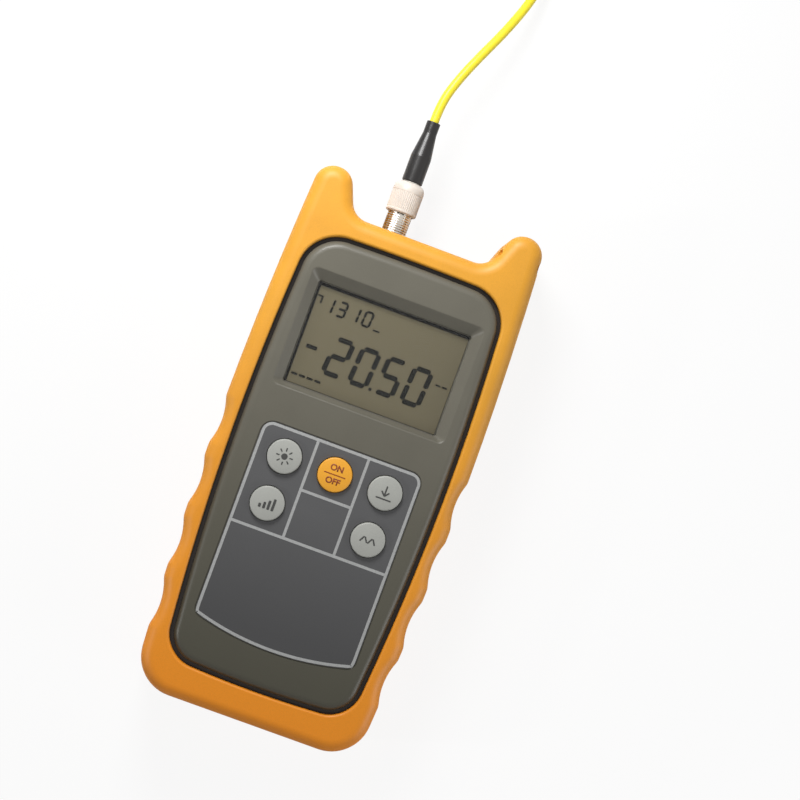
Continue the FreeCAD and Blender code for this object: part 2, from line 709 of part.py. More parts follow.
def make_display():
    """Display glass under the ledge, its light guide, frame and the zebra strips to the board."""
    x_span, y_span = glass_spans()
    glass_z = ledge_z() - GLASS_THICKNESS
    glass = block(x_span, y_span, (glass_z, ledge_z()))
    guide_y = (y_span[0] + ZEBRA_WIDTH + 0.5, y_span[1] - ZEBRA_WIDTH - 0.5)
    guide = block(grown(x_span, -0.5), guide_y, (BOARD_TOP, glass_z))
    z_span = (BOARD_TOP, ledge_z())
    frame = block(grown(x_span, LCD_FRAME_WALL), grown(y_span, LCD_FRAME_WALL), z_span)
    frame = frame.cut(block(grown(x_span, FIT), grown(y_span, FIT), z_span))
    strips = {}
    for name, y in (("zebra_strip_low", y_span[0]), ("zebra_strip_high", y_span[1] - ZEBRA_WIDTH)):
        strips[name] = block(grown(x_span, -2.0), (y, y + ZEBRA_WIDTH), (BOARD_TOP, glass_z))
    return {"display_glass": glass, "light_guide": guide, "display_frame": frame, **strips}


def make_label():
    """Printed film round the keys."""
    bottom = FACE_Z - LABEL_RECESS
    film = label_plan(0).prism(bottom, bottom + LABEL_THICKNESS)
    bore = KEY_DIAMETER + 2 * KEY_CLEARANCE
    return film.cut([upright(bore, place, (bottom - 1, FACE_Z + 1)) for place in KEY_PLACES.values()])


def make_key(place):
    """Key cap with a domed top, a flange that keeps it in, and its stem down to the dome contact."""
    radius = KEY_DIAMETER / 2
    rim = FACE_Z + KEY_PROUD
    flange_top = INNER_FACE_Z - 0.15
    flange_low = flange_top - KEY_FLANGE
    stem_low = BOARD_TOP + KEY_TRAVEL + 0.2
    right = Vector(radius, 0, rim)
    crown = Part.Arc(right, crown_point(radius / 2, rim), Vector(0, 0, rim + KEY_DOME)).toShape()
    corners = [
        Vector(0, 0, rim + KEY_DOME),
        Vector(0, 0, stem_low),
        Vector(KEY_STEM_DIAMETER / 2, 0, stem_low),
        Vector(KEY_STEM_DIAMETER / 2, 0, flange_low),
        Vector(radius + KEY_FLANGE, 0, flange_low),
        Vector(radius + KEY_FLANGE, 0, flange_top),
        Vector(radius, 0, flange_top),
        right,
    ]
    sides = Part.makePolygon(corners).Edges
    cap = Part.Face(Part.Wire(sides + [crown])).revolve(Vector(), Z_AXIS, 360)
    cap.translate(Vector(place[0], place[1], 0))
    return cap


def crown_point(radius, rim):
    """Point on the key's shallow spherical crown."""
    edge = KEY_DIAMETER / 2
    ball = (edge**2 + KEY_DOME**2) / (2 * KEY_DOME)
    return Vector(radius, 0, rim + KEY_DOME - ball + math.sqrt(ball**2 - radius**2))


def make_keypad_mat():
    """Rubber mat on the board with a collar round each key's stem."""
    top = BOARD_TOP + MAT_THICKNESS
    mat = rounded_block((-26.0, 26.0), (KEY_ROW_LOW - 9, KEY_ROW_HIGH + 9), (BOARD_TOP, top), 3.0)
    collars = [upright(9.6, place, (BOARD_TOP, BOARD_TOP + COLLAR_HEIGHT)) for place in KEY_PLACES.values()]
    wells = [
        upright(KEY_STEM_DIAMETER + 1.2, place, (BOARD_TOP - 1, BOARD_TOP + COLLAR_HEIGHT + 1))
        for place in KEY_PLACES.values()
    ]
    return mat.fuse(collars).cut(wells).removeSplitter()


def make_boards():
    """Main board under the display and keys, and the detector board behind the adapter."""
    z_span = (BOARD_TOP - BOARD_THICKNESS, BOARD_TOP)
    main = rounded_block(centred(BOARD_HALF_WIDTH), (BOARD_LOW, BOARD_HIGH), z_span, 3.0)
    through = grown(z_span, 1)
    holes = [upright(BOARD_SCREW_DIAMETER + 0.3, place, through) for place in BOARD_SCREW_PLACES]
    post_ways = [upright(BOSS_DIAMETER + 1.0, place, through) for place in SCREW_PLACES[:2]]
    high = spigot_end()
    detector = block(
        (CONNECTOR_X - 11, CONNECTOR_X + 11),
        (high - DETECTOR_BOARD_THICKNESS, high),
        (CONNECTOR_Z - 8, BOARD_TOP - BOARD_THICKNESS - FIT),
    )
    pins = [rod(0.9, Vector(x, high - 3, z), Y_AXIS, 4) for x, z in pin_places()]
    return {"main_board": main.cut(holes + post_ways), "detector_board": detector.cut(pins)}


def pin_places():
    """(x, z) places of the photodiode's three pins round the connector's axis."""
    places = []
    for degrees in (90, 210, 330):
        turn = math.radians(degrees)
        places.append((CONNECTOR_X + 1.27 * math.cos(turn), CONNECTOR_Z + 1.27 * math.sin(turn)))
    return places


def spigot_end():
    """Inner end of the adapter's spigot, which the detector board stands against."""
    return CASE_TOP_Y - SPIGOT_LENGTH


def make_photodiode():
    """Detector can in the back of the adapter, with pins through its board."""
    front = spigot_end()
    can = rod(CAN_DIAMETER, Vector(CONNECTOR_X, front, CONNECTOR_Z), Y_AXIS, CAN_LENGTH)
    pins = [rod(0.5, Vector(x, front - 2.5, z), Y_AXIS, 2.5) for x, z in pin_places()]
    return fuse_all([can] + pins)


def make_screws(places, diameter, head, head_z, tip_z):
    """Pan-head screws driven upwards."""
    screws = []
    for place in places:
        shank = upright(diameter, place, (head_z, tip_z))
        cap = upright(head, place, (head_z - 1.6, head_z))
        screws.append(fuse_all([shank, cap]))
    return Part.makeCompound(screws)


def make_end_panel():
    """Panel held in the case's top wall, with the adapter's hole through it."""
    front = CASE_TOP_Y
    back = CASE_TOP_Y - CASE_WALL
    plate = block(centred(PANEL_HALF_WIDTH), (back, front), (PANEL_LOW, PANEL_HIGH))
    lip_z = grown((PANEL_LOW, PANEL_HIGH), PANEL_LIP)
    lip = block(centred(PANEL_HALF_WIDTH + PANEL_LIP), (back - 1.2, back - 0.05), lip_z)
    neck = block(centred(PANEL_HALF_WIDTH), (back - 1.0, back + 0.5), (PANEL_LOW, PANEL_HIGH))
    hole = rod(SPIGOT_DIAMETER + 0.2, Vector(CONNECTOR_X, back - 2, CONNECTOR_Z), Y_AXIS, 6)
    screws = [rod(1.6, Vector(x, back - 2, z), Y_AXIS, 6) for x, z in flange_screw_places()]
    return fuse_all([plate, neck, lip]).cut([hole] + screws)


def flange_screw_places():
    """Two flange screws, on a diagonal of the flange."""
    dx = FLANGE_WIDTH / 2 - 1.7
    dz = FLANGE_HEIGHT / 2 - 1.7
    return [(CONNECTOR_X - dx, CONNECTOR_Z + dz), (CONNECTOR_X + dx, CONNECTOR_Z - dz)]


def make_flange_screws():
    """Screws that hold the adapter's flange on the panel."""
    seat = CASE_TOP_Y + FLANGE_THICKNESS
    tip = CASE_TOP_Y - CASE_WALL - 1.2
    screws = []
    for x, z in flange_screw_places():
        shank = rod(1.6, Vector(x, tip, z), Y_AXIS, seat - tip)
        head = rod(2.8, Vector(x, seat, z), Y_AXIS, 1.0)
        screws.append(fuse_all([shank, head]))
    return Part.makeCompound(screws)


def make_adapter():
    """FC adapter: flange, threaded barrel with its key slot, and a spigot that holds the detector."""
    seat = CASE_TOP_Y
    top = seat + FLANGE_THICKNESS
    end = spigot_end()
    barrel = BARREL_DIAMETER / 2
    bore = PLUG_CORE_DIAMETER / 2 + 0.1
    sleeve_low = end + CAN_LENGTH + 1.4
    sleeve_high = sleeve_low + SLEEVE_LENGTH + FIT
    sleeve = SLEEVE_DIAMETER / 2 + 0.03
    can = CAN_DIAMETER / 2 + 0.05
    outside = [
        (end, can),
        (end, SPIGOT_DIAMETER / 2),
        (top - 0.5, SPIGOT_DIAMETER / 2),
        (top - 0.5, barrel),
        (BARREL_END - 0.5, barrel),
        (BARREL_END, barrel - 0.5),
    ]
    inside = [
        (BARREL_END, bore),
        (sleeve_high, bore),
        (sleeve_high, sleeve),
        (sleeve_low, sleeve),
        (sleeve_low, 1.0),
        (end + CAN_LENGTH, 1.0),
        (end + CAN_LENGTH, can),
    ]
    body = turned(outside + inside)
    body.translate(Vector(CONNECTOR_X, 0, CONNECTOR_Z))
    flange = block(about(CONNECTOR_X, FLANGE_WIDTH / 2), (seat, top), about(CONNECTOR_Z, FLANGE_HEIGHT / 2))
    corners = [e for e in flange.Edges if abs(e.BoundBox.YLength - FLANGE_THICKNESS) < 1e-6]
    flange = flange.makeFillet(2.0, corners)
    flange = flange.cut(
        [rod(6.0, Vector(CONNECTOR_X, seat - 1, CONNECTOR_Z), Y_AXIS, 6)]
        + [rod(1.8, Vector(x, seat - 1, z), Y_AXIS, 6) for x, z in flange_screw_places()]
    )
    slot = block(
        about(CONNECTOR_X, 1.1), (BARREL_END - 5.5, BARREL_END + 1), (CONNECTOR_Z + 1, CONNECTOR_Z + 6)
    )
    return fuse_all([body, flange]).cut(slot)


def make_sleeve():
    """Split ceramic sleeve that lines up the ferrule."""
    low = spigot_end() + CAN_LENGTH + 1.4 + FIT / 2
    high = low + SLEEVE_LENGTH
    bore = (FERRULE_DIAMETER + FERRULE_SLACK) / 2
    outside = SLEEVE_DIAMETER / 2
    ring = turned([(low, bore), (low, outside), (high, outside), (high, bore)])
    ring.translate(Vector(CONNECTOR_X, 0, CONNECTOR_Z))
    split = block(about(CONNECTOR_X, 0.2), (low - 1, high + 1), (CONNECTOR_Z + 0.5, CONNECTOR_Z + 3))
    return ring.cut(split)


def plug_pieces():
    """The four pieces of an FC plug, tip at the origin, lead towards +Y."""
    return {
        "core": plug_core(),
        "ferrule": plug_ferrule(),
        "nut": plug_nut(),
        "strain_relief": plug_strain_relief(),
    }


def relief_start():
    """Where the strain relief begins behind the nut, from the ferrule's tip."""
    return NUT_START + NUT_LENGTH + RELIEF_GAP


def plug_core():
    """Metal core with the collar that the nut pulls on, the crimp neck, and the key."""
    core = PLUG_CORE_DIAMETER / 2
    collar = PLUG_COLLAR_DIAMETER / 2
    neck = PLUG_NECK_DIAMETER / 2
    crimp = PLUG_CRIMP_DIAMETER / 2
    bore = (FERRULE_DIAMETER + FERRULE_SLACK) / 2
    collar_end = PLUG_COLLAR + PLUG_COLLAR_LENGTH
    crimp_end = relief_start() + PLUG_CRIMP_LENGTH
    outside = [
        (PLUG_FRONT, bore),
        (PLUG_FRONT, core - 0.4),
        (PLUG_FRONT + 0.4, core),
        (PLUG_COLLAR, core),
        (PLUG_COLLAR, collar),
        (collar_end, collar),
        (collar_end, neck),
        (relief_start(), neck),
        (relief_start(), crimp),
        (crimp_end, crimp),
    ]
    body = turned(outside + [(crimp_end, 0), (PLUG_FRONT + 3, 0), (PLUG_FRONT + 3, bore)])
    key_z = (core - 0.4, BARREL_DIAMETER / 2 - 0.2)
    key = block(centred(0.95), (PLUG_FRONT + 4, PLUG_COLLAR + 0.5), key_z)
    return fuse_all([body, key])


def plug_ferrule():
    """Ceramic ferrule with a bevelled tip, pressed in the core."""
    tip = FERRULE_DIAMETER / 2
    return turned([(0, 0), (0, tip - 0.3), (0.3, tip), (PLUG_FRONT + 3, tip), (PLUG_FRONT + 3, 0)])


def plug_nut():
    """Coupling nut: a cap that runs over the barrel's thread and bears on the core's collar."""
    start = NUT_START
    end = NUT_START + NUT_LENGTH
    outer = NUT_DIAMETER / 2
    thread = BARREL_DIAMETER / 2 + NUT_RUNNING_FIT
    neck = PLUG_NECK_DIAMETER / 2 + NUT_RUNNING_FIT
    throat = PLUG_COLLAR + PLUG_COLLAR_LENGTH + NUT_RUNNING_FIT
    outside = [(start, thread), (start, outer - 0.4), (start + 0.4, outer), (end - 0.4, outer)]
    return turned(outside + [(end, outer - 0.4), (end, neck), (throat, neck), (throat, thread)])


def plug_strain_relief():
    """Rubber sleeve over the crimp that tapers to the lead."""
    start = relief_start()
    end = PLUG_LENGTH
    body = RELIEF_DIAMETER / 2
    tail = RELIEF_TAIL_DIAMETER / 2
    bore = PLUG_CRIMP_DIAMETER / 2 + 0.01
    crimp_end = start + PLUG_CRIMP_LENGTH + 0.05
    outside = [(start, bore), (start, body - 0.3), (start + 0.3, body), (start + 8.8, body)]
    return turned(outside + [(start + 16.8, tail), (end, tail), (end, 0), (crimp_end, 0), (crimp_end, bore)])


def placed(pieces, prefix, origin, turn):
    """Pieces turned about Z, moved to an origin and given a name prefix."""
    placement = Placement(origin, Rotation(Z_AXIS, turn))
    return {f"{prefix}_{name}": shape.transformed(placement.toMatrix()) for name, shape in pieces.items()}


def make_plugs():
    """The plug in the meter, and the loose one past the coil with its dust cap."""
    pieces = plug_pieces()
    seated = placed(pieces, "plug", Vector(CONNECTOR_X, PLUG_TIP, CONNECTOR_Z), 0)
    bore = (FERRULE_DIAMETER + CAP_CLEARANCE) / 2
    cap_end = PLUG_FRONT - 0.3
    cap_start = cap_end - CAP_LENGTH
    cap_side = CAP_DIAMETER / 2
    outside = [(cap_start, 0), (cap_start, cap_side - 0.5), (cap_start + 0.5, cap_side), (cap_end, cap_side)]
    cap = turned(outside + [(cap_end, bore), (-0.5, bore), (-0.5, 0)])
    tail = Vector(*TAIL_ROUTE[-1])
    loose = placed({**pieces, "dust_cap": cap}, "loose", tail + X_AXIS * PLUG_LENGTH, 90)
    return {**seated, **loose}


def make_lead(route):
    """Round lead along straight runs joined by tangent arcs as large as the runs allow."""
    points = [Vector(*point) for point in route]
    edges = []
    start = points[0]
    for before, corner, after in zip(points, points[1:], points[2:]):
        back = (before - corner).normalize()
        ahead = (after - corner).normalize()
        half_turn = (math.pi - back.getAngle(ahead)) / 2
        trim = 0.45 * min(before.distanceToPoint(corner), after.distanceToPoint(corner))
        radius = trim / math.tan(half_turn)
        print(f"bend radius {radius:.1f}")
        inward = (back + ahead).normalize()
        middle = corner + inward * (radius / math.cos(half_turn) - radius)
        edges.append(Part.LineSegment(start, corner + back * trim).toShape())
        edges.append(Part.Arc(corner + back * trim, middle, corner + ahead * trim).toShape())
        start = corner + ahead * trim
    edges.append(Part.LineSegment(start, points[-1]).toShape())
    path = Part.Wire(edges)
    circle = Part.Wire(Part.makeCircle(LEAD_DIAMETER / 2, points[0], points[1] - points[0]))
    lead = path.makePipeShell([circle], True, False)
    area = math.pi * LEAD_DIAMETER**2 / 4
    share = lead.Volume / (area * path.Length)
    print(f"lead length {path.Length:.1f}, volume over section times length {share:.4f}")
    return lead


def make_coil(margin=0.0):
    """Outer shape of the wound turns, as one ring with bevelled edges, grown by a margin."""
    half = COIL_LAYERS * LEAD_DIAMETER / 2
    outside = COIL_RADIUS + half + margin
    inside = COIL_RADIUS - half - margin
    height = 2 * half + margin
    ring = Part.makeCylinder(outside, height).cut(Part.makeCylinder(inside, height))
    ring = ring.makeChamfer(LEAD_DIAMETER / 3, edges_at_height(ring, 0) + edges_at_height(ring, height))
    ring.translate(Vector(COIL_CENTRE[0], COIL_CENTRE[1], 0))
    return ring


def make_tie():
    """Hook-and-loop band round one side of the coil."""
    half = COIL_LAYERS * LEAD_DIAMETER / 2
    x_span = (COIL_RADIUS - half, COIL_RADIUS + half)
    shell = block(grown(x_span, TIE_THICKNESS), centred(TIE_WIDTH / 2), (0, 2 * half + TIE_THICKNESS))
    coil_room = block(x_span, centred(TIE_WIDTH), (-1, 2 * half))
    tie = shell.cut(coil_room)
    tie.rotate(Vector(), Z_AXIS, -35)
    tie.translate(Vector(COIL_CENTRE[0], COIL_CENTRE[1], 0))
    return tie.cut(make_coil(FIT))


def build():
    """Every node of the part by name."""
    nodes = {
        "rubber_boot": make_boot(),
        "front_case": make_front_case(),
        "rear_case": make_rear_case(),
        "battery_door": make_door(),
        **make_cells(),
        "leaf_contacts": make_leaf_contacts(),
        "end_plates": make_end_plates(),
        "display_window": make_window(),
        **make_display(),
        "keypad_label": make_label(),
        **{name: make_key(place) for name, place in KEY_PLACES.items()},
        "keypad_mat": make_keypad_mat(),
        **make_boards(),
        "board_screws": make_screws(
            BOARD_SCREW_PLACES, BOARD_SCREW_DIAMETER, 3.8, BOARD_TOP - BOARD_THICKNESS, INNER_FACE_Z - 1.5
        ),
        "case_screws": make_screws(
            SCREW_PLACES, CASE_SCREW_DIAMETER, CASE_SCREW_HEAD, CASE_BACK_Z + 3.5, INNER_FACE_Z - 4
        ),
        "end_panel": make_end_panel(),
        "fc_adapter": make_adapter(),
        "flange_screws": make_flange_screws(),
        "alignment_sleeve": make_sleeve(),
        "photodiode": make_photodiode(),
        **make_plugs(),
        "fibre_lead": make_lead(LEAD_ROUTE),
        "fibre_tail": make_lead(TAIL_ROUTE),
        "fibre_coil": make_coil(),
        "coil_tie": make_tie(),
    }
    return nodes


def main():
    """Build each node and write it to its own file."""
    os.makedirs("parts", exist_ok=True)
    for name, shape in build().items():
        box = shape.optimalBoundingBox()
        print(
            f"{name:18s} solids {len(shape.Solids)} valid {shape.isValid()} volume {shape.Volume:9.1f}"
            f"  x {box.XMin:.2f} {box.XMax:.2f}  y {box.YMin:.2f} {box.YMax:.2f}"
            f"  z {box.ZMin:.2f} {box.ZMax:.2f}"
        )
        shape.exportStep(f"parts/{name}.step")


main()
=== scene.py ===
"""Optical power meter in a rubber boot: its finishes, printed marks, fibre lead, light and camera.

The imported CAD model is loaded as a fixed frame, and everything here is built around it.
Sizes are millimetres, and MM turns them into metres.
"""

import logging
import math
from collections.abc import Callable, Iterator, Sequence
from contextlib import contextmanager
from dataclasses import dataclass
from enum import Enum

import bmesh
import bpy
from mathutils import Matrix, Vector

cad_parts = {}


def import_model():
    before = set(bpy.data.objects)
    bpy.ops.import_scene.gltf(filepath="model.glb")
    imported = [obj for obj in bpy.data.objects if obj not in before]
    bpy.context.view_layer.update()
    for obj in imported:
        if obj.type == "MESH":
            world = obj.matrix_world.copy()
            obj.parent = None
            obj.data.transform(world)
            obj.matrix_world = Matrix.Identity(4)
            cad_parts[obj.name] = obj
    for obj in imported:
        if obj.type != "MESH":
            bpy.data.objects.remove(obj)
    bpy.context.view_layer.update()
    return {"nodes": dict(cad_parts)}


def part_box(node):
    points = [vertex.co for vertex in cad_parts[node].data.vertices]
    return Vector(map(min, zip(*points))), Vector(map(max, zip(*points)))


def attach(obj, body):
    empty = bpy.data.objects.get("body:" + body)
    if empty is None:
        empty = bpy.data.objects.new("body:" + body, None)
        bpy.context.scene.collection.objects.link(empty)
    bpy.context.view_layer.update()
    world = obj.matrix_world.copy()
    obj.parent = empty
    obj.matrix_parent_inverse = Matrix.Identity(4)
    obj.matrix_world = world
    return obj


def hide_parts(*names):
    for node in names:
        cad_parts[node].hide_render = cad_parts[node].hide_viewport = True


MM = 0.001
LOG = logging.getLogger("power_meter")
Colour = tuple[float, float, float, float]
Point = tuple[float, float, float]
Pair = tuple[float, float]
Span = tuple[Pair, Pair]
Socket = bpy.types.NodeSocket
WHITE: Colour = (1.0, 1.0, 1.0, 1.0)

# How close to a line, in millimetres, a vertex has to be to count as on it.
NEAR = 0.01


def tint(red: int, green: int, blue: int) -> Colour:
    """Turn a colour written as 0 to 255 into the linear values that shaders take.

    Args:
        red: red share as displayed.
        green: green share as displayed.
        blue: blue share as displayed.

    Returns:
        The linear colour with full alpha.
    """

    def linear(value: float) -> float:
        """Undo the display curve for one channel."""
        return value / 12.92 if value <= 0.04045 else ((value + 0.055) / 1.055) ** 2.4

    return (linear(red / 255), linear(green / 255), linear(blue / 255), 1.0)


def shaded(colour: Colour, factor: float) -> Colour:
    """The same colour, lighter or darker by a factor."""
    return (colour[0] * factor, colour[1] * factor, colour[2] * factor, 1.0)


def metres(point: Sequence[float]) -> Vector:
    """A point or size in millimetres as a vector in metres."""
    return Vector(point) * MM


def link(thing: bpy.types.Object) -> bpy.types.Object:
    """Put a new object in the scene."""
    bpy.context.scene.collection.objects.link(thing)
    return thing


class Graph:
    """Shader nodes in one tree, added and joined a step at a time."""

    def __init__(self, tree: bpy.types.NodeTree) -> None:
        """Start on a tree."""
        self.tree = tree

    def node(self, kind: str, inputs: dict | None = None, **settings: object) -> bpy.types.Node:
        """Add a node.

        Args:
            kind: the node's type.
            inputs: sockets by name or number, each with a value or the socket that feeds it.
            **settings: the node's own options.

        Returns:
            The new node.
        """
        made = self.tree.nodes.new(kind)
        for key, value in settings.items():
            setattr(made, key, value)
        for key, value in (inputs or {}).items():
            self.feed(made.inputs[key], value)
        return made

    def feed(self, socket: Socket, value: object) -> None:
        """Join a socket to another one, or set it to a constant."""
        if isinstance(value, Socket):
            self.tree.links.new(value, socket)
        else:
            socket.default_value = value

    def maths(self, operation: str, *values: object, kind: str = "Math", **settings: object) -> Socket:
        """Result of one operation on numbers, or on vectors with the VectorMath kind."""
        inputs = dict(enumerate(values))
        return self.node(f"ShaderNode{kind}", inputs, operation=operation, **settings).outputs[0]

    def mixed(self, share: object, first: bpy.types.Node, second: bpy.types.Node) -> bpy.types.Node:
        """Mix two shaders by a share."""
        return self.node("ShaderNodeMixShader", {0: share, 1: first.outputs[0], 2: second.outputs[0]})


class Recipe(Graph):
    """Shader nodes of one material."""

    def __init__(self, name: str, values: dict[str, object]) -> None:
        """Start a material on its own shader.

        Args:
            name: the material's name.
            values: the shader's own sockets and what each is set to.
        """
        self.material = bpy.data.materials.new(name)
        self.material.use_nodes = True
        super().__init__(self.material.node_tree)
        self.shader = self.tree.nodes["Principled BSDF"]
        for socket, value in values.items():
            self.feed(self.shader.inputs[socket], value)

    def spot(self) -> Socket:
        """Plain place on the piece."""
        return self.node("ShaderNodeTexCoord").outputs["Object"]

    def axis(self, place: Socket, index: int) -> Socket:
        """One coordinate of a place."""
        return self.node("ShaderNodeSeparateXYZ", {0: place}).outputs[index]

    def place(self, stretch: Point = (1, 1, 1), turn: Point = (0, 0, 0)) -> Socket:
        """Place on the piece, stretched or turned, for a pattern to follow."""
        inputs = {0: self.spot(), "Rotation": turn, "Scale": stretch}
        return self.node("ShaderNodeMapping", inputs).outputs[0]

    def noise(self, size: float, detail: float = 2.0, place: Socket | None = None) -> Socket:
        """Cloudy pattern.

        Args:
            size: width of one cloud in millimetres.
            detail: how many finer layers it has.
            place: where on the piece it is read, or None for its plain place.

        Returns:
            The pattern's factor.
        """
        where = self.place() if place is None else place
        inputs = {"Vector": where, "Scale": 1 / (size * MM), "Detail": detail}
        return self.node("ShaderNodeTexNoise", inputs).outputs[0]

    def cells(self, size: float, randomness: float, **settings: object) -> Socket:
        """Pattern of cells of a size in millimetres."""
        inputs = {"Vector": self.place(), "Scale": 1 / (size * MM), "Randomness": randomness}
        return self.node("ShaderNodeTexVoronoi", inputs, **settings).outputs[0]

    def ramp(self, factor: object, *stops: tuple[float, Colour], hard: bool = False) -> Socket:
        """Turn a factor into a colour.

        Args:
            factor: the socket to read.
            *stops: (position, colour) pairs in rising order.
            hard: whether each colour stays the same up to the next stop.

        Returns:
            The colour's socket.
        """
        made = self.node("ShaderNodeValToRGB", {0: factor})
        scale = made.color_ramp
        scale.interpolation = "CONSTANT" if hard else "LINEAR"
        while len(scale.elements) < len(stops):
            scale.elements.new(0.5)
        for element, (position, colour) in zip(scale.elements, stops):
            element.position = position
            element.color = colour
        return made.outputs[0]

    def blend(self, factor: object, first: object, second: object, way: str = "MIX") -> Socket:
        """Mix two colours by a factor."""
        inputs = {0: factor, 6: first, 7: second}
        return self.node("ShaderNodeMix", inputs, data_type="RGBA", blend_type=way).outputs[2]

    def between(
        self, factor: object, low: float, high: float, start: float = 0.0, end: float = 1.0
    ) -> Socket:
        """Turn a factor that runs from a start to an end into a number between two limits."""
        inputs = {0: factor, 1: start, 2: end, 3: low, 4: high}
        return self.node("ShaderNodeMapRange", inputs).outputs[0]

    def bump(self, height: object, depth: float, under: Socket | None = None) -> Socket:
        """Raise a pattern on the surface.

        Args:
            height: the pattern's socket.
            depth: its full height in millimetres.
            under: a rougher bump that this one lies on.

        Returns:
            The normal's socket.
        """
        inputs = {"Height": height, "Distance": depth * MM}
        if under is not None:
            inputs["Normal"] = under
        return self.node("ShaderNodeBump", inputs).outputs[0]

    def paint(self, **sockets: object) -> bpy.types.Material:
        """Feed the shader's sockets, with underscores for spaces, and hand over the material."""
        for name, value in sockets.items():
            self.feed(self.shader.inputs[name.replace("_", " ")], value)
        return self.material


@dataclass(frozen=True)
class Moulded:
    """Moulded plastic or rubber: slightly cloudy colour, fine grain and uneven gloss."""

    colour: Colour
    cloud: float = 0.08
    gloss: Pair = (0.42, 0.6)
    grain_depth: float = 0.02
    specular: float = 0.5
    # Painted shade: where given, this colour is blended in towards the piece's low end in Y, across the
    # span in fade.
    shaded_low_end: Colour | None = None
    fade: Pair = (-85.0, 40.0)
    cloud_size: float = 14.0
    grain_size: float = 0.3
    swell_size: float = 4.0
    swell_depth: float = 0.02

    def material(self, name: str) -> bpy.types.Material:
        """Make the material."""
        recipe = Recipe(name, {"Specular IOR Level": self.specular})
        grain = recipe.noise(self.grain_size)
        speck = recipe.ramp(grain, (0.3, shaded(WHITE, 0.93)), (0.6, WHITE))
        swell = recipe.bump(recipe.noise(self.swell_size, 1.0), self.swell_depth)
        return recipe.paint(
            Base_Color=recipe.blend(1.0, self.body_colour(recipe), speck, "MULTIPLY"),
            Roughness=recipe.between(recipe.noise(self.cloud_size * 0.6, 4.0), *self.gloss),
            Normal=recipe.bump(grain, self.grain_depth, swell),
        )

    def body_colour(self, recipe: Recipe) -> Socket:
        """Colour that drifts slowly between a darker and a lighter shade, with painted shade towards the
        low end where one is given.
        """
        dark = shaded(self.colour, 1 - self.cloud)
        light = shaded(self.colour, 1 + self.cloud)
        colour = recipe.ramp(recipe.noise(self.cloud_size, 3.0), (0.3, dark), (0.7, light))
        # Painted shade towards the low end, when a low-end colour is given.
        if self.shaded_low_end is None:
            return colour
        low, high = self.fade
        share = recipe.between(recipe.axis(recipe.spot(), 1), 1.0, 0.0, low * MM, high * MM)
        return recipe.blend(share, colour, self.shaded_low_end)


@dataclass(frozen=True)
class CasePlastic(Moulded):
    """The case's plastic, with painted shade down in the gap between the case and the boot's lip."""

    # Colour of the painted shade on the case's walls in the gap.
    painted_gap_shade: Colour = (0.02, 0.013, 0.009, 1.0)
    gap_low: float = 27.9
    gap_high: float = 29.9
    gap_fade: float = 0.9
    display_middle: float = 35.8
    display_half: Point = (29.2, 20.2, 1000.0)

    def body_colour(self, recipe: Recipe) -> Socket:
        """Plastic colour, with painted shade on the walls below the case's face but not in the display's
        recess.
        """
        plain = super().body_colour(recipe)
        spot = recipe.spot()
        inverse = [1 / (half * MM) for half in self.display_half]
        middle = metres((0, self.display_middle, 0))
        reach = recipe.maths("SUBTRACT", spot, middle, kind="VectorMath")
        reach = recipe.maths("MULTIPLY", reach, inverse, kind="VectorMath")
        reach = recipe.maths("ABSOLUTE", reach, kind="VectorMath")
        far = recipe.maths("MAXIMUM", recipe.axis(reach, 0), recipe.axis(reach, 1))
        outside = recipe.maths("GREATER_THAN", far, 1.0)
        height = recipe.axis(spot, 2)
        fade = ((self.gap_high - self.gap_fade) * MM, self.gap_high * MM)
        low = recipe.between(height, 1.0, 0.0, *fade)
        above = recipe.maths("GREATER_THAN", height, self.gap_low * MM)
        share = recipe.maths("MULTIPLY", recipe.maths("MULTIPLY", low, above), outside)
        # Painted shade: the walls from gap_low up to just under the face are darkened.
        return recipe.blend(share, plain, self.painted_gap_shade)


@dataclass(frozen=True)
class Metal:
    """Plated or turned metal: fine streaks along one way, and a little dulling."""

    colour: Colour
    gloss: Pair = (0.18, 0.32)
    stretch: Point = (1.0, 1.0, 1.0)
    dull: float = 0.82
    streak_size: float = 0.4
    streak_depth: float = 0.004

    def material(self, name: str) -> bpy.types.Material:
        """Make the material."""
        recipe = Recipe(name, {"Metallic": 1.0})
        streak = recipe.noise(self.streak_size, 3.0, recipe.place(self.stretch))
        dulled = (0.3, shaded(self.colour, self.dull))
        return recipe.paint(
            Base_Color=recipe.ramp(recipe.noise(3.0, 3.0), dulled, (0.65, self.colour)),
            Roughness=recipe.between(streak, *self.gloss),
            Normal=recipe.bump(streak, self.streak_depth),
        )


@dataclass(frozen=True)
class Ink:
    """Screen-printed ink, a little uneven in its cover."""

    colour: Colour
    specular: float = 0.5
    relief: float = 0.01
    thin: float = 0.86

    def material(self, name: str) -> bpy.types.Material:
        """Make the material."""
        recipe = Recipe(name, {"Roughness": 0.5, "Specular IOR Level": self.specular})
        cover = recipe.noise(0.6, 3.0)
        colour = recipe.ramp(cover, (0.35, shaded(self.colour, self.thin)), (0.6, self.colour))
        return recipe.paint(Base_Color=colour, Normal=recipe.bump(cover, self.relief))


@dataclass(frozen=True)
class ClearPlastic:
    """Clear anti-glare sheet: it lets light through, veils a little of it, and has handling marks."""

    colour: Colour
    least: float = 0.008
    most: float = 0.18

    def material(self, name: str) -> bpy.types.Material:
        """Make the material."""
        recipe = Recipe(name, {"Metallic": 1.0, "Base Color": self.colour})
        smear = recipe.noise(9.0, 4.0, recipe.place((1.0, 0.35, 1.0), (0, 0, 0.5)))
        facing = recipe.node("ShaderNodeLayerWeight", {"Blend": 0.15}).outputs["Facing"]
        return recipe.paint(
            Roughness=recipe.between(smear, 0.5, 0.58),
            Alpha=recipe.between(facing, self.least, self.most),
        )


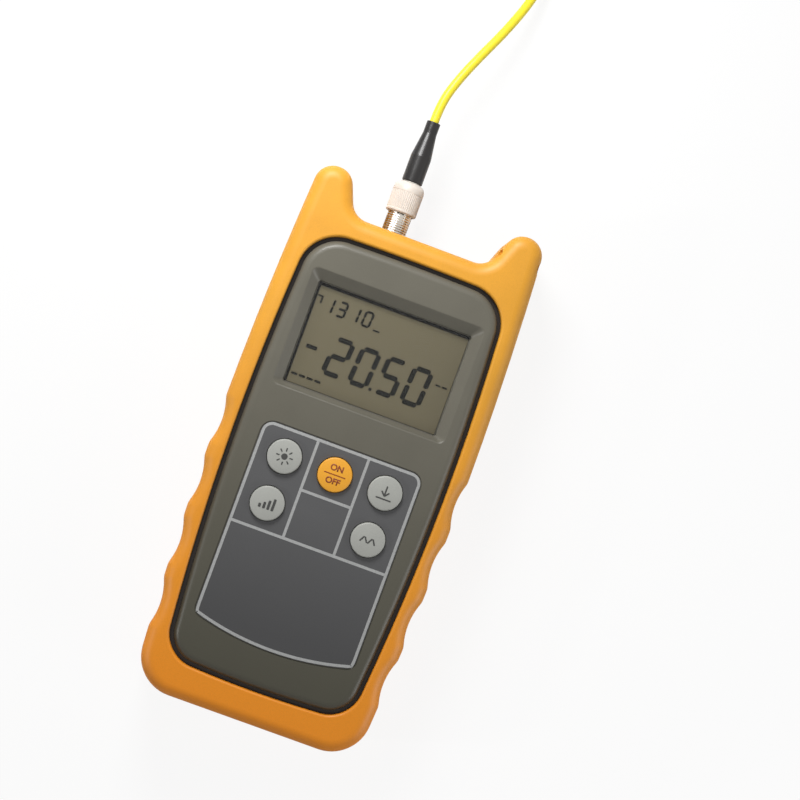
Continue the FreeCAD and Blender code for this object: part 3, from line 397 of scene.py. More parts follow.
@dataclass(frozen=True)
class DisplayField:
    """Liquid crystal field: warm grey with painted light and shade, lighter and a little greener at its
    upper left.
    """

    colour: Colour
    upper_left_lit_colour: Colour
    span: float = 52.0

    def material(self, name: str) -> bpy.types.Material:
        """Make the material."""
        recipe = Recipe(name, {"Roughness": 0.35, "Specular IOR Level": 0.15})
        # Painted light and shade: the field runs from the lit upper left to a darker lower right.
        step = 1 / (self.span * MM)
        slope = recipe.place((step, -step, step))
        total = recipe.maths("ADD", recipe.axis(slope, 0), recipe.axis(slope, 1))
        fade = recipe.ramp(total, (0.0, self.upper_left_lit_colour), (0.35, self.colour))
        speck = recipe.ramp(recipe.noise(0.25), (0.3, shaded(WHITE, 0.94)), (0.65, WHITE))
        return recipe.paint(Base_Color=recipe.blend(1.0, fade, speck, "MULTIPLY"))


@dataclass(frozen=True)
class CellWrap:
    """Printed foil round a dry cell: two colours of wrap between bare steel ends."""

    near: Colour
    far: Colour
    positions: Point
    steel: Colour = tint(190, 190, 186)
    span: float = 80.0

    def material(self, name: str) -> bpy.types.Material:
        """Make the material."""
        recipe = Recipe(name, {"Coat Weight": 0.4})
        along = recipe.axis(recipe.place((1, 1 / (self.span * MM), 1)), 1)
        low, middle, high = self.positions
        stops = ((0.0, self.steel), (low, self.near), (middle, self.far), (high, self.steel))
        wrinkle = recipe.noise(1.4, 3.0, recipe.place((1.0, 0.2, 1.0)))
        return recipe.paint(
            Base_Color=recipe.ramp(recipe.maths("ADD", along, 1.0), *stops, hard=True),
            Roughness=recipe.between(wrinkle, 0.22, 0.4),
            Normal=recipe.bump(wrinkle, 0.02),
        )


@dataclass(frozen=True)
class CircuitBoard:
    """Solder mask over copper tracks, which show as lighter raised lines."""

    mask: Colour
    track: Colour

    def material(self, name: str) -> bpy.types.Material:
        """Make the material."""
        recipe = Recipe(name, {"Coat Weight": 0.3})
        edges = recipe.cells(6.0, 1.0, feature="DISTANCE_TO_EDGE", distance="CHEBYCHEV")
        lines = recipe.ramp(edges, (0.04, WHITE), (0.06, shaded(WHITE, 0)))
        return recipe.paint(
            Base_Color=recipe.blend(lines, self.mask, self.track),
            Roughness=recipe.between(recipe.noise(2.0), 0.25, 0.45),
            Normal=recipe.bump(lines, 0.03),
        )


@dataclass(frozen=True)
class HookBand:
    """Woven hook-and-loop band: rows of small loops in a dark cloth, with painted light on the loops and
    painted shade between them.
    """

    colour: Colour

    def material(self, name: str) -> bpy.types.Material:
        """Make the material."""
        recipe = Recipe(name, {"Roughness": 0.9, "Sheen Weight": 0.3})
        loops = recipe.cells(0.7, 0.45)
        # Painted light and shade: loop middles lighter, the cloth between them darker.
        colour = recipe.ramp(loops, (0.1, shaded(self.colour, 1.8)), (0.6, shaded(self.colour, 0.5)))
        return recipe.paint(Base_Color=colour, Normal=recipe.bump(loops, 0.2))


class Finish(Enum):
    """Every finish on the meter, by the name of its material."""

    BOOT = "boot_rubber"
    CASE = "case_plastic"
    WINDOW = "clear_window"
    FIELD = "display_glass"
    WHITE = "white_plastic"
    FILM = "label_film"
    KEY = "key_grey"
    POWER = "key_orange"
    GREY_RUBBER = "grey_rubber"
    BOARD = "board"
    CELL = "cell_wrap"
    CELL_TURNED = "cell_wrap_turned"
    NICKEL = "nickel"
    SCREW = "screw_steel"
    SPRING = "spring_steel"
    PANEL = "panel_plastic"
    CERAMIC = "zirconia"
    NUT = "nut_plated"
    RELIEF = "relief_rubber"
    JACKET = "lead_jacket"
    TIE = "tie_band"
    CAP = "cap_plastic"
    LABEL_INK = "label_ink"
    KEY_INK = "key_ink"
    POWER_INK = "power_ink"
    SEGMENT = "segment_ink"


RECIPES = {
    # Painted shade: the boot turns a deeper orange towards its low end.
    Finish.BOOT: Moulded(
        tint(228, 161, 47), cloud=0.05, gloss=(0.4, 0.55), shaded_low_end=tint(248, 150, 28)
    ),
    # Painted shade: the case darkens towards its low end.
    Finish.CASE: CasePlastic(
        tint(104, 101, 90),
        cloud=0.04,
        gloss=(0.3, 0.42),
        specular=0.35,
        shaded_low_end=tint(69, 67, 55),
        fade=(-80.0, 20.0),
    ),
    Finish.WINDOW: ClearPlastic((0.96, 0.96, 0.94, 1.0)),
    Finish.FIELD: DisplayField(tint(100, 91, 70), tint(110, 103, 81)),
    Finish.WHITE: Moulded(tint(228, 228, 222)),
    # Painted shade: the label film darkens towards its low end.
    Finish.FILM: Moulded(
        tint(80, 80, 81),
        cloud=0.03,
        gloss=(0.45, 0.55),
        shaded_low_end=tint(57, 57, 58),
        fade=(-58.0, -18.0),
    ),
    Finish.KEY: Moulded(tint(172, 173, 167), cloud=0.03, gloss=(0.35, 0.5)),
    Finish.POWER: Moulded(tint(244, 172, 50), cloud=0.03, gloss=(0.35, 0.5)),
    Finish.GREY_RUBBER: Moulded(tint(110, 110, 108), gloss=(0.6, 0.75)),
    Finish.BOARD: CircuitBoard(tint(28, 96, 52), tint(60, 132, 78)),
    Finish.CELL: CellWrap(tint(38, 40, 46), tint(196, 132, 62), (0.17, 0.62, 0.78)),
    Finish.CELL_TURNED: CellWrap(tint(196, 132, 62), tint(38, 40, 46), (0.18, 0.34, 0.785)),
    Finish.NICKEL: Metal(tint(204, 199, 190), gloss=(0.16, 0.28)),
    Finish.SCREW: Metal(tint(190, 188, 182), stretch=(1, 1, 0.2)),
    Finish.SPRING: Metal(tint(205, 200, 180), stretch=(0.2, 1, 1)),
    Finish.PANEL: Moulded(tint(52, 52, 52), grain_depth=0.03),
    Finish.CERAMIC: Moulded(tint(240, 240, 236), gloss=(0.08, 0.16), grain_depth=0.002),
    Finish.NUT: Moulded(tint(226, 217, 207), cloud=0.03, gloss=(0.28, 0.42)),
    Finish.RELIEF: Moulded(tint(17, 14, 13), cloud=0.12, gloss=(0.26, 0.36)),
    Finish.JACKET: Moulded(tint(242, 224, 48), cloud=0.04, gloss=(0.32, 0.45)),
    Finish.TIE: HookBand(tint(46, 46, 48)),
    Finish.CAP: Moulded(tint(196, 60, 48), gloss=(0.35, 0.5)),
    Finish.LABEL_INK: Ink(tint(174, 175, 174)),
    Finish.KEY_INK: Ink(tint(58, 58, 56)),
    Finish.POWER_INK: Ink(tint(140, 60, 14)),
    Finish.SEGMENT: Ink(tint(14, 14, 11), specular=0.1, relief=0.001),
}


class Paintbox:
    """Makes each material the first time that it is asked for."""

    def __init__(self) -> None:
        """Start with nothing mixed."""
        self.mixed: dict[Finish, bpy.types.Material] = {}

    def __getitem__(self, finish: Finish) -> bpy.types.Material:
        """The material of a finish."""
        if finish not in self.mixed:
            self.mixed[finish] = RECIPES[finish].material(finish.value)
        return self.mixed[finish]

    def coat(self, thing: bpy.types.Object, finish: Finish) -> None:
        """Give an object one finish all over."""
        thing.data.materials.clear()
        thing.data.materials.append(self[finish])


class Along(Enum):
    """Axis that a turned piece is turned about: its direction, and the way its radius starts."""

    X = ((1.0, 0.0, 0.0), (0.0, 1.0, 0.0))
    Y = ((0.0, 1.0, 0.0), (1.0, 0.0, 0.0))
    Z = ((0.0, 0.0, 1.0), (1.0, 0.0, 0.0))

    @property
    def axis(self) -> Vector:
        """Unit vector along the axis."""
        return Vector(self.value[0])

    @property
    def out(self) -> Vector:
        """Unit vector that the profile's radius points along."""
        return Vector(self.value[1])


class Workpiece:
    """One mesh, shaped with Blender's own operators as on a bench."""

    def __init__(self, name: str) -> None:
        """Take the primitive that was just added as a new piece."""
        self.thing = bpy.context.object
        self.thing.name = name
        self.thing.data.name = name
        bpy.ops.object.transform_apply(location=True, rotation=True, scale=True)

    @staticmethod
    def clear() -> None:
        """Select nothing, so that the next operator acts on its own piece alone."""
        if bpy.context.object is not None and bpy.context.object.mode != "OBJECT":
            bpy.ops.object.mode_set(mode="OBJECT")
        bpy.ops.object.select_all(action="DESELECT")

    def hold(self) -> None:
        """Select this piece alone and make it the active one."""
        self.clear()
        self.thing.select_set(True)
        bpy.context.view_layer.objects.active = self.thing

    @classmethod
    def disc(cls, name: str, radius: float, sides: int, centre: Point = (0, 0, 0)) -> "Workpiece":
        """Flat round face at a height."""
        cls.clear()
        bpy.ops.mesh.primitive_circle_add(
            vertices=sides, radius=radius * MM, fill_type="NGON", location=metres(centre)
        )
        return cls(name)

    @classmethod
    def panel(cls, name: str, low: Pair, high: Pair, z: float) -> "Workpiece":
        """Flat rectangle between two corners at a height."""
        cls.clear()
        middle = metres(((low[0] + high[0]) / 2, (low[1] + high[1]) / 2, z))
        bpy.ops.mesh.primitive_plane_add(size=1, location=middle)
        bpy.context.object.scale = metres((high[0] - low[0], high[1] - low[1], 1 / MM))
        return cls(name)

    @classmethod
    def joined(cls, name: str, pieces: Sequence["Workpiece"]) -> "Workpiece":
        """Several pieces as one, under a new name."""
        first, *others = pieces
        first.thing.name = name
        first.absorb(others)
        return first

    @classmethod
    def panels(cls, name: str, spans: Sequence[Span], z: float) -> "Workpiece":
        """Flat rectangles at one height, joined."""
        return cls.joined(name, [cls.panel(f"{name}_{i}", *span, z) for i, span in enumerate(spans)])

    @classmethod
    def turned(
        cls, name: str, profile: Sequence[Pair], about: Along, steps: int, centre: Point = (0, 0, 0)
    ) -> "Workpiece":
        """Turn a closed profile about an axis.

        Args:
            name: the piece's name.
            profile: (distance along the axis, radius) corners in order, closed by the last edge.
            about: the axis.
            steps: facets round the piece.
            centre: a point on the axis that distances are measured from.

        Returns:
            The turned piece.
        """
        cls.clear()
        start = metres(centre)
        points = [start + (about.axis * along + about.out * reach) * MM for along, reach in profile]
        bpy.ops.mesh.primitive_plane_add(size=MM, location=points[0])
        piece = cls(name)
        with piece.editing():
            bpy.ops.mesh.select_all(action="SELECT")
            bpy.ops.mesh.merge(type="CENTER")
            for before, after in zip(points, points[1:] + points[:1]):
                bpy.ops.mesh.extrude_vertices_move(TRANSFORM_OT_translate={"value": after - before})
            piece.merge(MM / 1000)
            bpy.ops.mesh.spin(steps=steps, angle=math.tau, center=start, axis=about.axis)
            piece.merge(MM / 200)
            bpy.ops.mesh.normals_make_consistent(inside=False)
        return piece

    @classmethod
    def cast(cls, name: str, node: bpy.types.Object) -> "Workpiece":
        """Copy of a CAD piece, with its loose triangles merged, to work on."""
        cls.clear()
        twin = node.copy()
        twin.data = node.data.copy()
        link(twin).select_set(True)
        bpy.context.view_layer.objects.active = twin
        twin.parent = None
        piece = cls(name)
        with piece.editing():
            piece.merge(MM / 1000)
        return piece

    @classmethod
    def word(cls, name: str, text: str, height: float, weight: float = 0.03) -> "Workpiece":
        """Flat printed word, centred on the origin, with strokes widened by a share of its height."""
        cls.clear()
        bpy.ops.object.text_add()
        letters = bpy.context.object
        letters.data.body = text
        letters.data.align_x = "CENTER"
        letters.data.align_y = "CENTER"
        letters.data.size = height * MM
        letters.data.offset = weight * height * MM
        bpy.ops.object.convert(target="MESH")
        return cls(name)

    @contextmanager
    def editing(self) -> Iterator[None]:
        """Edit mode on this piece alone, with nothing selected to begin with."""
        self.hold()
        bpy.ops.object.mode_set(mode="EDIT")
        bpy.ops.mesh.select_all(action="DESELECT")
        yield
        bpy.ops.object.mode_set(mode="OBJECT")

    def pick(self, kind: str, wanted: Callable[[object], bool]) -> None:
        """Select the vertices, edges or faces that are wanted, and nothing else.

        Args:
            kind: VERT, EDGE or FACE.
            wanted: says whether one element is wanted.
        """
        bpy.ops.mesh.select_mode(type=kind)
        bpy.ops.mesh.select_all(action="DESELECT")
        mesh = bmesh.from_edit_mesh(self.thing.data)
        for element in {"VERT": mesh.verts, "EDGE": mesh.edges, "FACE": mesh.faces}[kind]:
            if wanted(element):
                element.select_set(True)
        bmesh.update_edit_mesh(self.thing.data)

    def merge(self, distance: float) -> None:
        """Select the whole mesh and merge what lies in the same place, in edit mode."""
        bpy.ops.mesh.select_all(action="SELECT")
        bpy.ops.mesh.remove_doubles(threshold=distance)

    def cut(self, point: Vector, way: Sequence[float], **options: object) -> None:
        """Cut the whole mesh through a plane, given by a point in metres, in edit mode."""
        bpy.ops.mesh.select_all(action="SELECT")
        bpy.ops.mesh.bisect(plane_co=point, plane_no=way, **options)

    def modify(self, kind: str, **values: object) -> None:
        """Add a modifier and apply it."""
        self.hold()
        modifier = self.thing.modifiers.new(kind.title(), kind)
        for key, value in values.items():
            setattr(modifier, key, value)
        bpy.ops.object.modifier_apply(modifier=modifier.name)

    def thicken(self, depth: float, side: float = 1.0) -> None:
        """Give a sheet its thickness in millimetres, on its outer side or, with -1, its inner one."""
        self.modify("SOLIDIFY", thickness=depth * MM, offset=side)

    def copy(self, name: str, placement: Matrix) -> "Workpiece":
        """The same shape again, with its own mesh, moved by a matrix in millimetres."""
        twin = object.__new__(Workpiece)
        twin.thing = self.thing.copy()
        twin.thing.data = self.thing.data.copy()
        twin.thing.name = name
        link(twin.thing)
        twin.shift(placement)
        return twin

    def shift(self, placement: Matrix) -> None:
        """Move the shape itself by a matrix in millimetres."""
        scaled = placement.copy()
        scaled.translation = placement.translation * MM
        self.thing.data.transform(scaled)

    def drop(self) -> None:
        """Take a pattern piece off the bench once its copies are made."""
        bpy.data.objects.remove(self.thing)

    def absorb(self, others: Sequence["Workpiece"]) -> None:
        """Join other pieces into this one."""
        self.hold()
        for other in others:
            other.thing.select_set(True)
        bpy.ops.object.join()

    def finish(self, paint: Paintbox, finish: Finish, body: str, slot: Finish | None = None) -> None:
        """Paint the piece and let it ride on a body.

        Args:
            paint: the materials.
            finish: the piece's finish.
            body: the CAD body that it moves with.
            slot: the record's slot, where it has another name than the finish; not used.
        """
        paint.coat(self.thing, finish)
        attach(self.thing, body)
        LOG.info("%s: %d faces on %s", self.thing.name, len(self.thing.data.polygons), body)

    def stand_for(self, node: str, paint: Paintbox, finish: Finish, body: str, sharp: float) -> None:
        """Finish the piece in the place of a CAD piece.

        Args:
            node: the CAD piece.
            paint: the materials.
            finish: the piece's finish.
            body: the CAD body that it moves with.
            sharp: the angle in degrees from which an edge is shaded as sharp.
        """
        self.hold()
        bpy.ops.object.shade_smooth_by_angle(angle=math.radians(sharp))
        self.finish(paint, finish, body)
        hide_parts(node)


def move(x: float, y: float, z: float = 0.0, turn: float = 0.0) -> Matrix:
    """Placement in millimetres: turned about Z by an angle in degrees, then moved."""
    return Matrix.Translation((x, y, z)) @ Matrix.Rotation(math.radians(turn), 4, "Z")


@dataclass
class CadDress:
    """Finishes of the CAD pieces that are shown as they are."""

    finishes: dict[Finish, tuple[str, ...]]

    def dress(self, nodes: dict[str, bpy.types.Object], paint: Paintbox) -> None:
        """Give every CAD piece its finish."""
        for finish, names in self.finishes.items():
            for name in names:
                paint.coat(nodes[name], finish)
                LOG.info("%s: %s", name, finish.value)


CAD_DRESS = CadDress({
    Finish.BOOT: ("rubber_boot",),
    Finish.CASE: ("front_case", "rear_case", "battery_door"),
    Finish.WINDOW: ("display_window",),
    Finish.FIELD: ("display_glass",),
    Finish.WHITE: ("light_guide",),
    Finish.PANEL: ("display_frame", "end_panel"),
    Finish.FILM: ("keypad_label",),
    Finish.KEY: ("light_key", "reference_key", "units_key", "wavelength_key"),
    Finish.POWER: ("power_key",),
    Finish.GREY_RUBBER: ("keypad_mat", "zebra_strip_low", "zebra_strip_high"),
    Finish.BOARD: ("main_board", "detector_board"),
    Finish.CELL: ("battery_cell_1", "battery_cell_3"),
    Finish.CELL_TURNED: ("battery_cell_2",),
    Finish.NICKEL: ("fc_adapter", "photodiode", "plug_core", "loose_core"),
    Finish.SCREW: ("board_screws", "case_screws", "flange_screws"),
    Finish.SPRING: ("leaf_contacts", "end_plates"),
    Finish.CERAMIC: ("alignment_sleeve", "plug_ferrule", "loose_ferrule"),
    Finish.NUT: ("plug_nut", "loose_nut"),
    Finish.RELIEF: ("plug_strain_relief", "loose_strain_relief"),
    Finish.JACKET: ("fibre_lead", "fibre_coil", "fibre_tail"),
    Finish.TIE: ("coil_tie",),
    Finish.CAP: ("loose_dust_cap",),
})


def middle_of(node: str) -> Vector:
    """Middle of a CAD piece, in millimetres."""
    low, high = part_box(node)
    return (low + high) / 2 / MM


def quarter(centre: Pair, radius: float, steps: int = 4) -> list[Pair]:
    """Quarter of a circle in a profile, as (along, radius) points from its far end to its side."""
    angles = [math.radians(90 - 90 * index / steps) for index in range(steps + 1)]
    return [(centre[0] + radius * math.sin(a), centre[1] + radius * math.cos(a)) for a in angles]


def cap_finish(key: str) -> Finish:
    """Finish of a key's cap."""
    return Finish.POWER if key == "power_key" else Finish.KEY


@dataclass
class KeyCaps:
    """The five key caps: a shallow crown, a round rim, the flange under the face and the stem."""

    names: tuple[str, ...] = ("light_key", "power_key", "reference_key", "units_key", "wavelength_key")
    diameter: float = 11.0
    dome: float = 0.5
    rim: float = 0.45
    flange: float = 0.9
    flange_drop: float = 3.75
    stem: float = 5.0
    print_room: float = 0.06
    crown_steps: int = 6
    steps: int = 72

    def build(self, paint: Paintbox) -> dict[str, Workpiece]:
        """Turn one cap, copy it to every key and paint the copies."""
        low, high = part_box(self.names[0])
        height = (high.z - low.z) / MM - self.print_room
        pattern = Workpiece.turned("key_pattern", self.profile(height), Along.Z, self.steps)
        caps = {}
        for name in self.names:
            place = middle_of(name)
            cap = pattern.copy(f"{name}_cap", move(place.x, place.y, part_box(name)[0].z / MM))
            cap.stand_for(name, paint, cap_finish(name), name, sharp=50)
            caps[name] = cap
        pattern.drop()
        return caps

    def profile(self, height: float) -> list[Pair]:
        """(height, radius) corners, from the crown's top down to the stem's foot."""
        edge = self.diameter / 2
        ball = (edge**2 + self.dome**2) / (2 * self.dome)
        radii = [index / self.crown_steps * (edge - self.rim) for index in range(self.crown_steps + 1)]
        crown = [(height - ball + math.sqrt(ball**2 - reach**2), reach) for reach in radii]
        rim_middle = (crown[-1][0] - self.rim, edge - self.rim)
        rim = quarter(rim_middle, self.rim)[1:]
        flange_top = height - self.flange_drop
        flange_low = flange_top - self.flange
        out = edge + self.flange
        foot = self.stem / 2
        flange = [(flange_top, edge), (flange_top, out), (flange_low, out), (flange_low, foot)]
        return crown + rim + flange + [(0, foot), (0, 0)]


@dataclass
class CouplingNuts:
    """Both plugs' coupling nuts: a straight knurl between two plain collars."""

    length: float = 10.3
    outer: float = 5.09
    chamfer: float = 0.4
    collar: Pair = (0.9, 7.2)
    collar_slope: float = 0.2
    shoulder: Pair = (2.5, 1.5)
    shoulder_sweep: float = 72.0
    shoulder_steps: int = 6
    knurl_depth: float = 0.16
    crest_drop: float = 0.02
    thread_bore: float = 4.1
    neck_bore: float = 3.0
    throat: float = 7.7
    teeth: int = 48

    def build(self, paint: Paintbox) -> None:
        """Model one nut and fit a copy to each plug."""
        nut = self.pattern()
        on_meter, on_loose = middle_of("plug_nut"), middle_of("loose_nut")
        on_meter.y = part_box("plug_nut")[0].y / MM
        on_loose.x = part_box("loose_nut")[1].x / MM
        for body, place, turn in (("plug_nut", on_meter, 0), ("loose_nut", on_loose, 90)):
            piece = nut.copy(f"{body}_knurled", move(*place, turn))
            piece.stand_for(body, paint, Finish.NUT, body, sharp=20)
        nut.drop()

    def pattern(self) -> Workpiece:
        """The nut along Y, with its threaded end at the origin."""
        nut = Workpiece.turned("nut_pattern", self.profile(), Along.Y, 2 * self.teeth)
        pitch = math.pi / self.teeth
        margin = self.collar_slope / 2
        first, last = self.collar
        valley = self.outer - self.knurl_depth

        def on_tooth(vertex: bmesh.types.BMVert) -> bool:
            """Whether a vertex is on every second line of the knurled band."""
            x, y, z = vertex.co / MM
            in_band = first + margin < y < last - margin and abs(math.hypot(x, z) - valley) < 2 * NEAR
            return in_band and round(math.atan2(z, x) / pitch) % 2 == 0

        with nut.editing():
            nut.pick("VERT", on_tooth)
            grow = (self.outer - self.crest_drop) / valley
            bpy.ops.transform.resize(value=(grow, 1, grow), center_override=(0, 0, 0))
        return nut

    def profile(self) -> list[Pair]:
        """(along, radius) corners of the nut's wall."""
        first, last = self.collar
        valley = self.outer - self.knurl_depth
        chamfered = self.outer - self.chamfer
        deep, drop = self.shoulder
        sweep = math.radians(self.shoulder_sweep)
        shoulder = []
        for index in range(self.shoulder_steps + 1):
            angle = sweep * index / self.shoulder_steps
            along = self.length - deep + deep * math.sin(angle) / math.sin(sweep)
            share = (1 - math.cos(angle)) / (1 - math.cos(sweep))
            shoulder.append((along, self.outer - drop * share))
        return [
            (0, self.thread_bore),
            (0, chamfered),
            (self.chamfer, self.outer),
            (first, self.outer),
            (first + self.collar_slope, valley),
            (last - self.collar_slope, valley),
            (last, self.outer),
            *shoulder,
            (self.length, self.neck_bore),
            (self.throat, self.neck_bore),
            (self.throat, self.thread_bore),
        ]


@dataclass
class DustCap:
    """Soft cap on the loose ferrule, with a round end and grip rings."""

    bore: float = 1.31
    bore_depth: float = 11.2
    end_radius: float = 1.3
    chamfer: float = 0.2
    mouth: Pair = (1.4, 1.7)
    waist: float = 0.25
    ring_start: float = 8.2
    ring_width: float = 0.65
    ring_slope: float = 0.15
    ring_pitch: float = 1.0
    rings: int = 4

    def build(self, paint: Paintbox) -> None:
        """Turn the cap and paint it."""
        low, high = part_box("loose_dust_cap")
        profile = self.profile((high.x - low.x) / MM, (high.z - low.z) / 2 / MM)
        middle = middle_of("loose_dust_cap")
        place = (low.x / MM, middle.y, middle.z)
        cap = Workpiece.turned("dust_cap_grip", profile, Along.X, 64, place)
        cap.stand_for("loose_dust_cap", paint, Finish.CAP, "loose_dust_cap", sharp=40)

    def profile(self, length: float, radius: float) -> list[Pair]:
        """(along, radius) corners, from the open end to the closed end and back up the bore."""
        waist = radius - self.waist
        points = [(0, self.bore), (0, radius - self.chamfer), (self.chamfer, radius)]
        points += zip(self.mouth, (radius, waist))
        crest = (self.ring_slope, self.ring_width - self.ring_slope)
        for index in range(self.rings):
            start = self.ring_start + index * self.ring_pitch
            ring = ((0, waist), (crest[0], radius), (crest[1], radius), (self.ring_width, waist))
            points += [(start + along, reach) for along, reach in ring]
        end = quarter((length - self.end_radius, waist - self.end_radius), self.end_radius)
        return points + end[::-1] + [(length, 0), (self.bore_depth, 0), (self.bore_depth, self.bore)]


@dataclass
class CoilTie:
    """Hook-and-loop band over one side of the coil, with its end lapped back over the top."""

    width: float = 5.0
    thickness: float = 0.65
    reach: float = 5.3
    top: float = 9.95
    foot: float = 0.3
    bend: float = 1.4
    lap: Pair = (-2.6, 4.4)
    lap_width: float = 4.6
    lap_corner: float = 1.1
    lap_share: float = 0.9
    tip_length: float = 2.0
    tip_lift: float = 0.35
    hem: float = 0.35
    hem_draw: float = 0.12
    coil_centre: Pair = (30.0, 208.0)
    coil_radius: float = 16.5
    turn: float = -35.0

    def build(self, paint: Paintbox) -> None:
        """Model the band and its lapped end, and lay them over the coil."""
        band = self.band()
        band.absorb([self.lapped_end()])
        over = Matrix.Translation((self.coil_radius, 0, 0))
        band.shift(move(*self.coil_centre, 0, self.turn) @ over)
        band.stand_for("coil_tie", paint, Finish.TIE, "meter", sharp=40)

    def band(self) -> Workpiece:
        """Strip over the top of the coil and down both sides of it."""
        half = self.width / 2
        strip = Workpiece.panel("coil_tie_band", (-self.reach, -half), (self.reach, half), self.top)
        edge = (self.reach - NEAR) * MM
        with strip.editing():
            for side in (-1, 1):
                strip.pick("EDGE", lambda line: all(v.co.x * side > edge for v in line.verts))
                down = (0, 0, (self.foot - self.top) * MM)
                bpy.ops.mesh.extrude_region_move(TRANSFORM_OT_translate={"value": down})
            high = (self.top - NEAR) * MM
            strip.pick("EDGE", lambda line: all(abs(v.co.x) > edge and v.co.z > high for v in line.verts))
            bpy.ops.mesh.bevel(offset=self.bend * MM, segments=6)
            self.add_hems(strip)
            bpy.ops.mesh.select_all(action="SELECT")
            bpy.ops.mesh.normals_make_consistent(inside=False)
        strip.thicken(self.thickness, -1.0)
        return strip

    def add_hems(self, strip: Workpiece) -> None:
        """Cut the strip along both its edges, and draw the edges down a little."""
        for side in (-1, 1):
            strip.cut(metres((0, side * (self.width / 2 - self.hem), 0)), (0, 1, 0))
        rim = (self.width / 2 - NEAR) * MM
        strip.pick("VERT", lambda vertex: abs(vertex.co.y) > rim)
        shrink = 1 - self.hem_draw / self.reach
        centre = metres((0, 0, self.top / 2))
        bpy.ops.transform.resize(value=(shrink, 1, shrink), center_override=centre)

    def lapped_end(self) -> Workpiece:
        """The band's free end on top, with round corners and a slightly raised tip."""
        half = self.lap_width / 2
        near, far = self.lap
        thickness = self.thickness * self.lap_share
        flap = Workpiece.panel("coil_tie_end", (near, -half), (far, half), self.top + thickness)
        with flap.editing():
            tip = (near + NEAR) * MM
            flap.pick("VERT", lambda vertex: vertex.co.x < tip)
            bpy.ops.mesh.bevel(offset=self.lap_corner * MM, segments=6, affect="VERTICES")
            flap.cut(metres((near + self.tip_length, 0, 0)), (1, 0, 0))
            raised = (near + self.tip_length - NEAR) * MM
            flap.pick("VERT", lambda vertex: vertex.co.x < raised)
            bpy.ops.transform.translate(value=(0, 0, self.tip_lift * MM))
        flap.thicken(thickness, -1.0)
        return flap


@dataclass
class AdapterThread:
    """The panel adapter with its thread cut into the barrel."""

    radius: float = 4.0
    facet_room: float = 0.05
    start: float = 74.2
    pitch: float = 0.75
    turns: int = 15
    depth: float = 0.14
    crest_share: float = 0.3

    def build(self, nodes: dict[str, bpy.types.Object], paint: Paintbox) -> None:
        """Cut rings round the barrel and draw every second one in."""
        adapter = Workpiece.cast("adapter_threaded", nodes["fc_adapter"])
        nut = middle_of("plug_nut")
        axis = metres((nut.x, 0, nut.z))
        roots = [self.start + (index + 0.5) * self.pitch for index in range(self.turns)]
        half_groove = (0.5 - self.crest_share) * self.pitch

        def at_root(vertex: bmesh.types.BMVert) -> bool:
            """Whether a vertex is on the barrel's outside, at the bottom of a groove."""
            reach = (vertex.co - axis).xz.length / MM
            near = min(abs(vertex.co.y / MM - root) for root in roots) < NEAR
            return near and abs(reach - self.radius) < self.facet_room

        with adapter.editing():
            for root in roots:
                for y in (root - half_groove, root, root + half_groove):
                    adapter.cut(metres((0, y, 0)), (0, 1, 0))
            adapter.pick("VERT", at_root)
            shrink = 1 - self.depth / self.radius
            bpy.ops.transform.resize(value=(shrink, 1, shrink), center_override=axis)
        adapter.stand_for("fc_adapter", paint, Finish.NICKEL, "meter", sharp=25)


@dataclass
class LabelPrint:
    """Pale lines printed on the keypad label: an outline with a bowed foot, and its dividers."""

    half_width: float = 26.4
    top: float = 4.7
    foot: float = -59.3
    bow: float = 3.9
    line: float = 0.9
    corner: float = 3.4
    divider: float = 8.45
    cell_top: float = -11.9
    middle: float = -28.0
    thickness: float = 0.03

    def build(self, paint: Paintbox) -> None:
        """Model the lines on the label and paint them."""
        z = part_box("keypad_label")[1].z / MM
        outline = self.outline(z)
        outline.absorb([Workpiece.panels("label_dividers", self.dividers(), z)])
        outline.thicken(self.thickness)
        outline.finish(paint, Finish.LABEL_INK, "meter", Finish.FILM)

    def outline(self, z: float) -> Workpiece:
        """Frame with two round top corners and a bowed foot."""
        ball = (self.half_width**2 + self.bow**2) / (2 * self.bow)
        piece = Workpiece.disc("label_lines", ball, 720, (0, self.foot - self.bow + ball, z))
        with piece.editing():
            reaches = {(1, 0, 0): self.half_width, (-1, 0, 0): self.half_width, (0, 1, 0): self.top}
            for way, reach in reaches.items():
                piece.cut(metres(way) * reach, way, clear_outer=True, threshold=MM / 1000)
            edge = (self.half_width - NEAR) * MM
            low = (self.foot + 1) * MM
            piece.pick("VERT", lambda v: abs(v.co.x) > edge and (v.co.y > 0 or v.co.y < low))
            bpy.ops.mesh.bevel(offset=self.corner * MM, segments=8, affect="VERTICES")
            bpy.ops.mesh.select_all(action="SELECT")
            bpy.ops.mesh.inset(thickness=self.line * MM)
            bpy.ops.mesh.delete(type="FACE")
        return piece

    def dividers(self) -> list[Span]:
        """Lowest and highest corner of each divider."""
        half = self.line / 2
        inner = self.half_width - self.line
        reach = self.divider - half
        spans = [((-inner, self.middle - self.line), (inner, self.middle))]
        for x in (-self.divider, self.divider):
            spans.append(((x - half, self.middle), (x + half, self.top - self.line)))
        spans.append(((-reach, self.cell_top - self.line), (reach, self.cell_top)))
        return spans


class Segment(Enum):
    """The seven bars of a digit: middle in half widths and half heights, and whether it stands."""

    TOP = (0, 1, False)
    HIGH_LEFT = (-1, 0.5, True)
    HIGH_RIGHT = (1, 0.5, True)
    MIDDLE = (0, 0, False)
    LOW_LEFT = (-1, -0.5, True)
    LOW_RIGHT = (1, -0.5, True)
    BOTTOM = (0, -1, False)


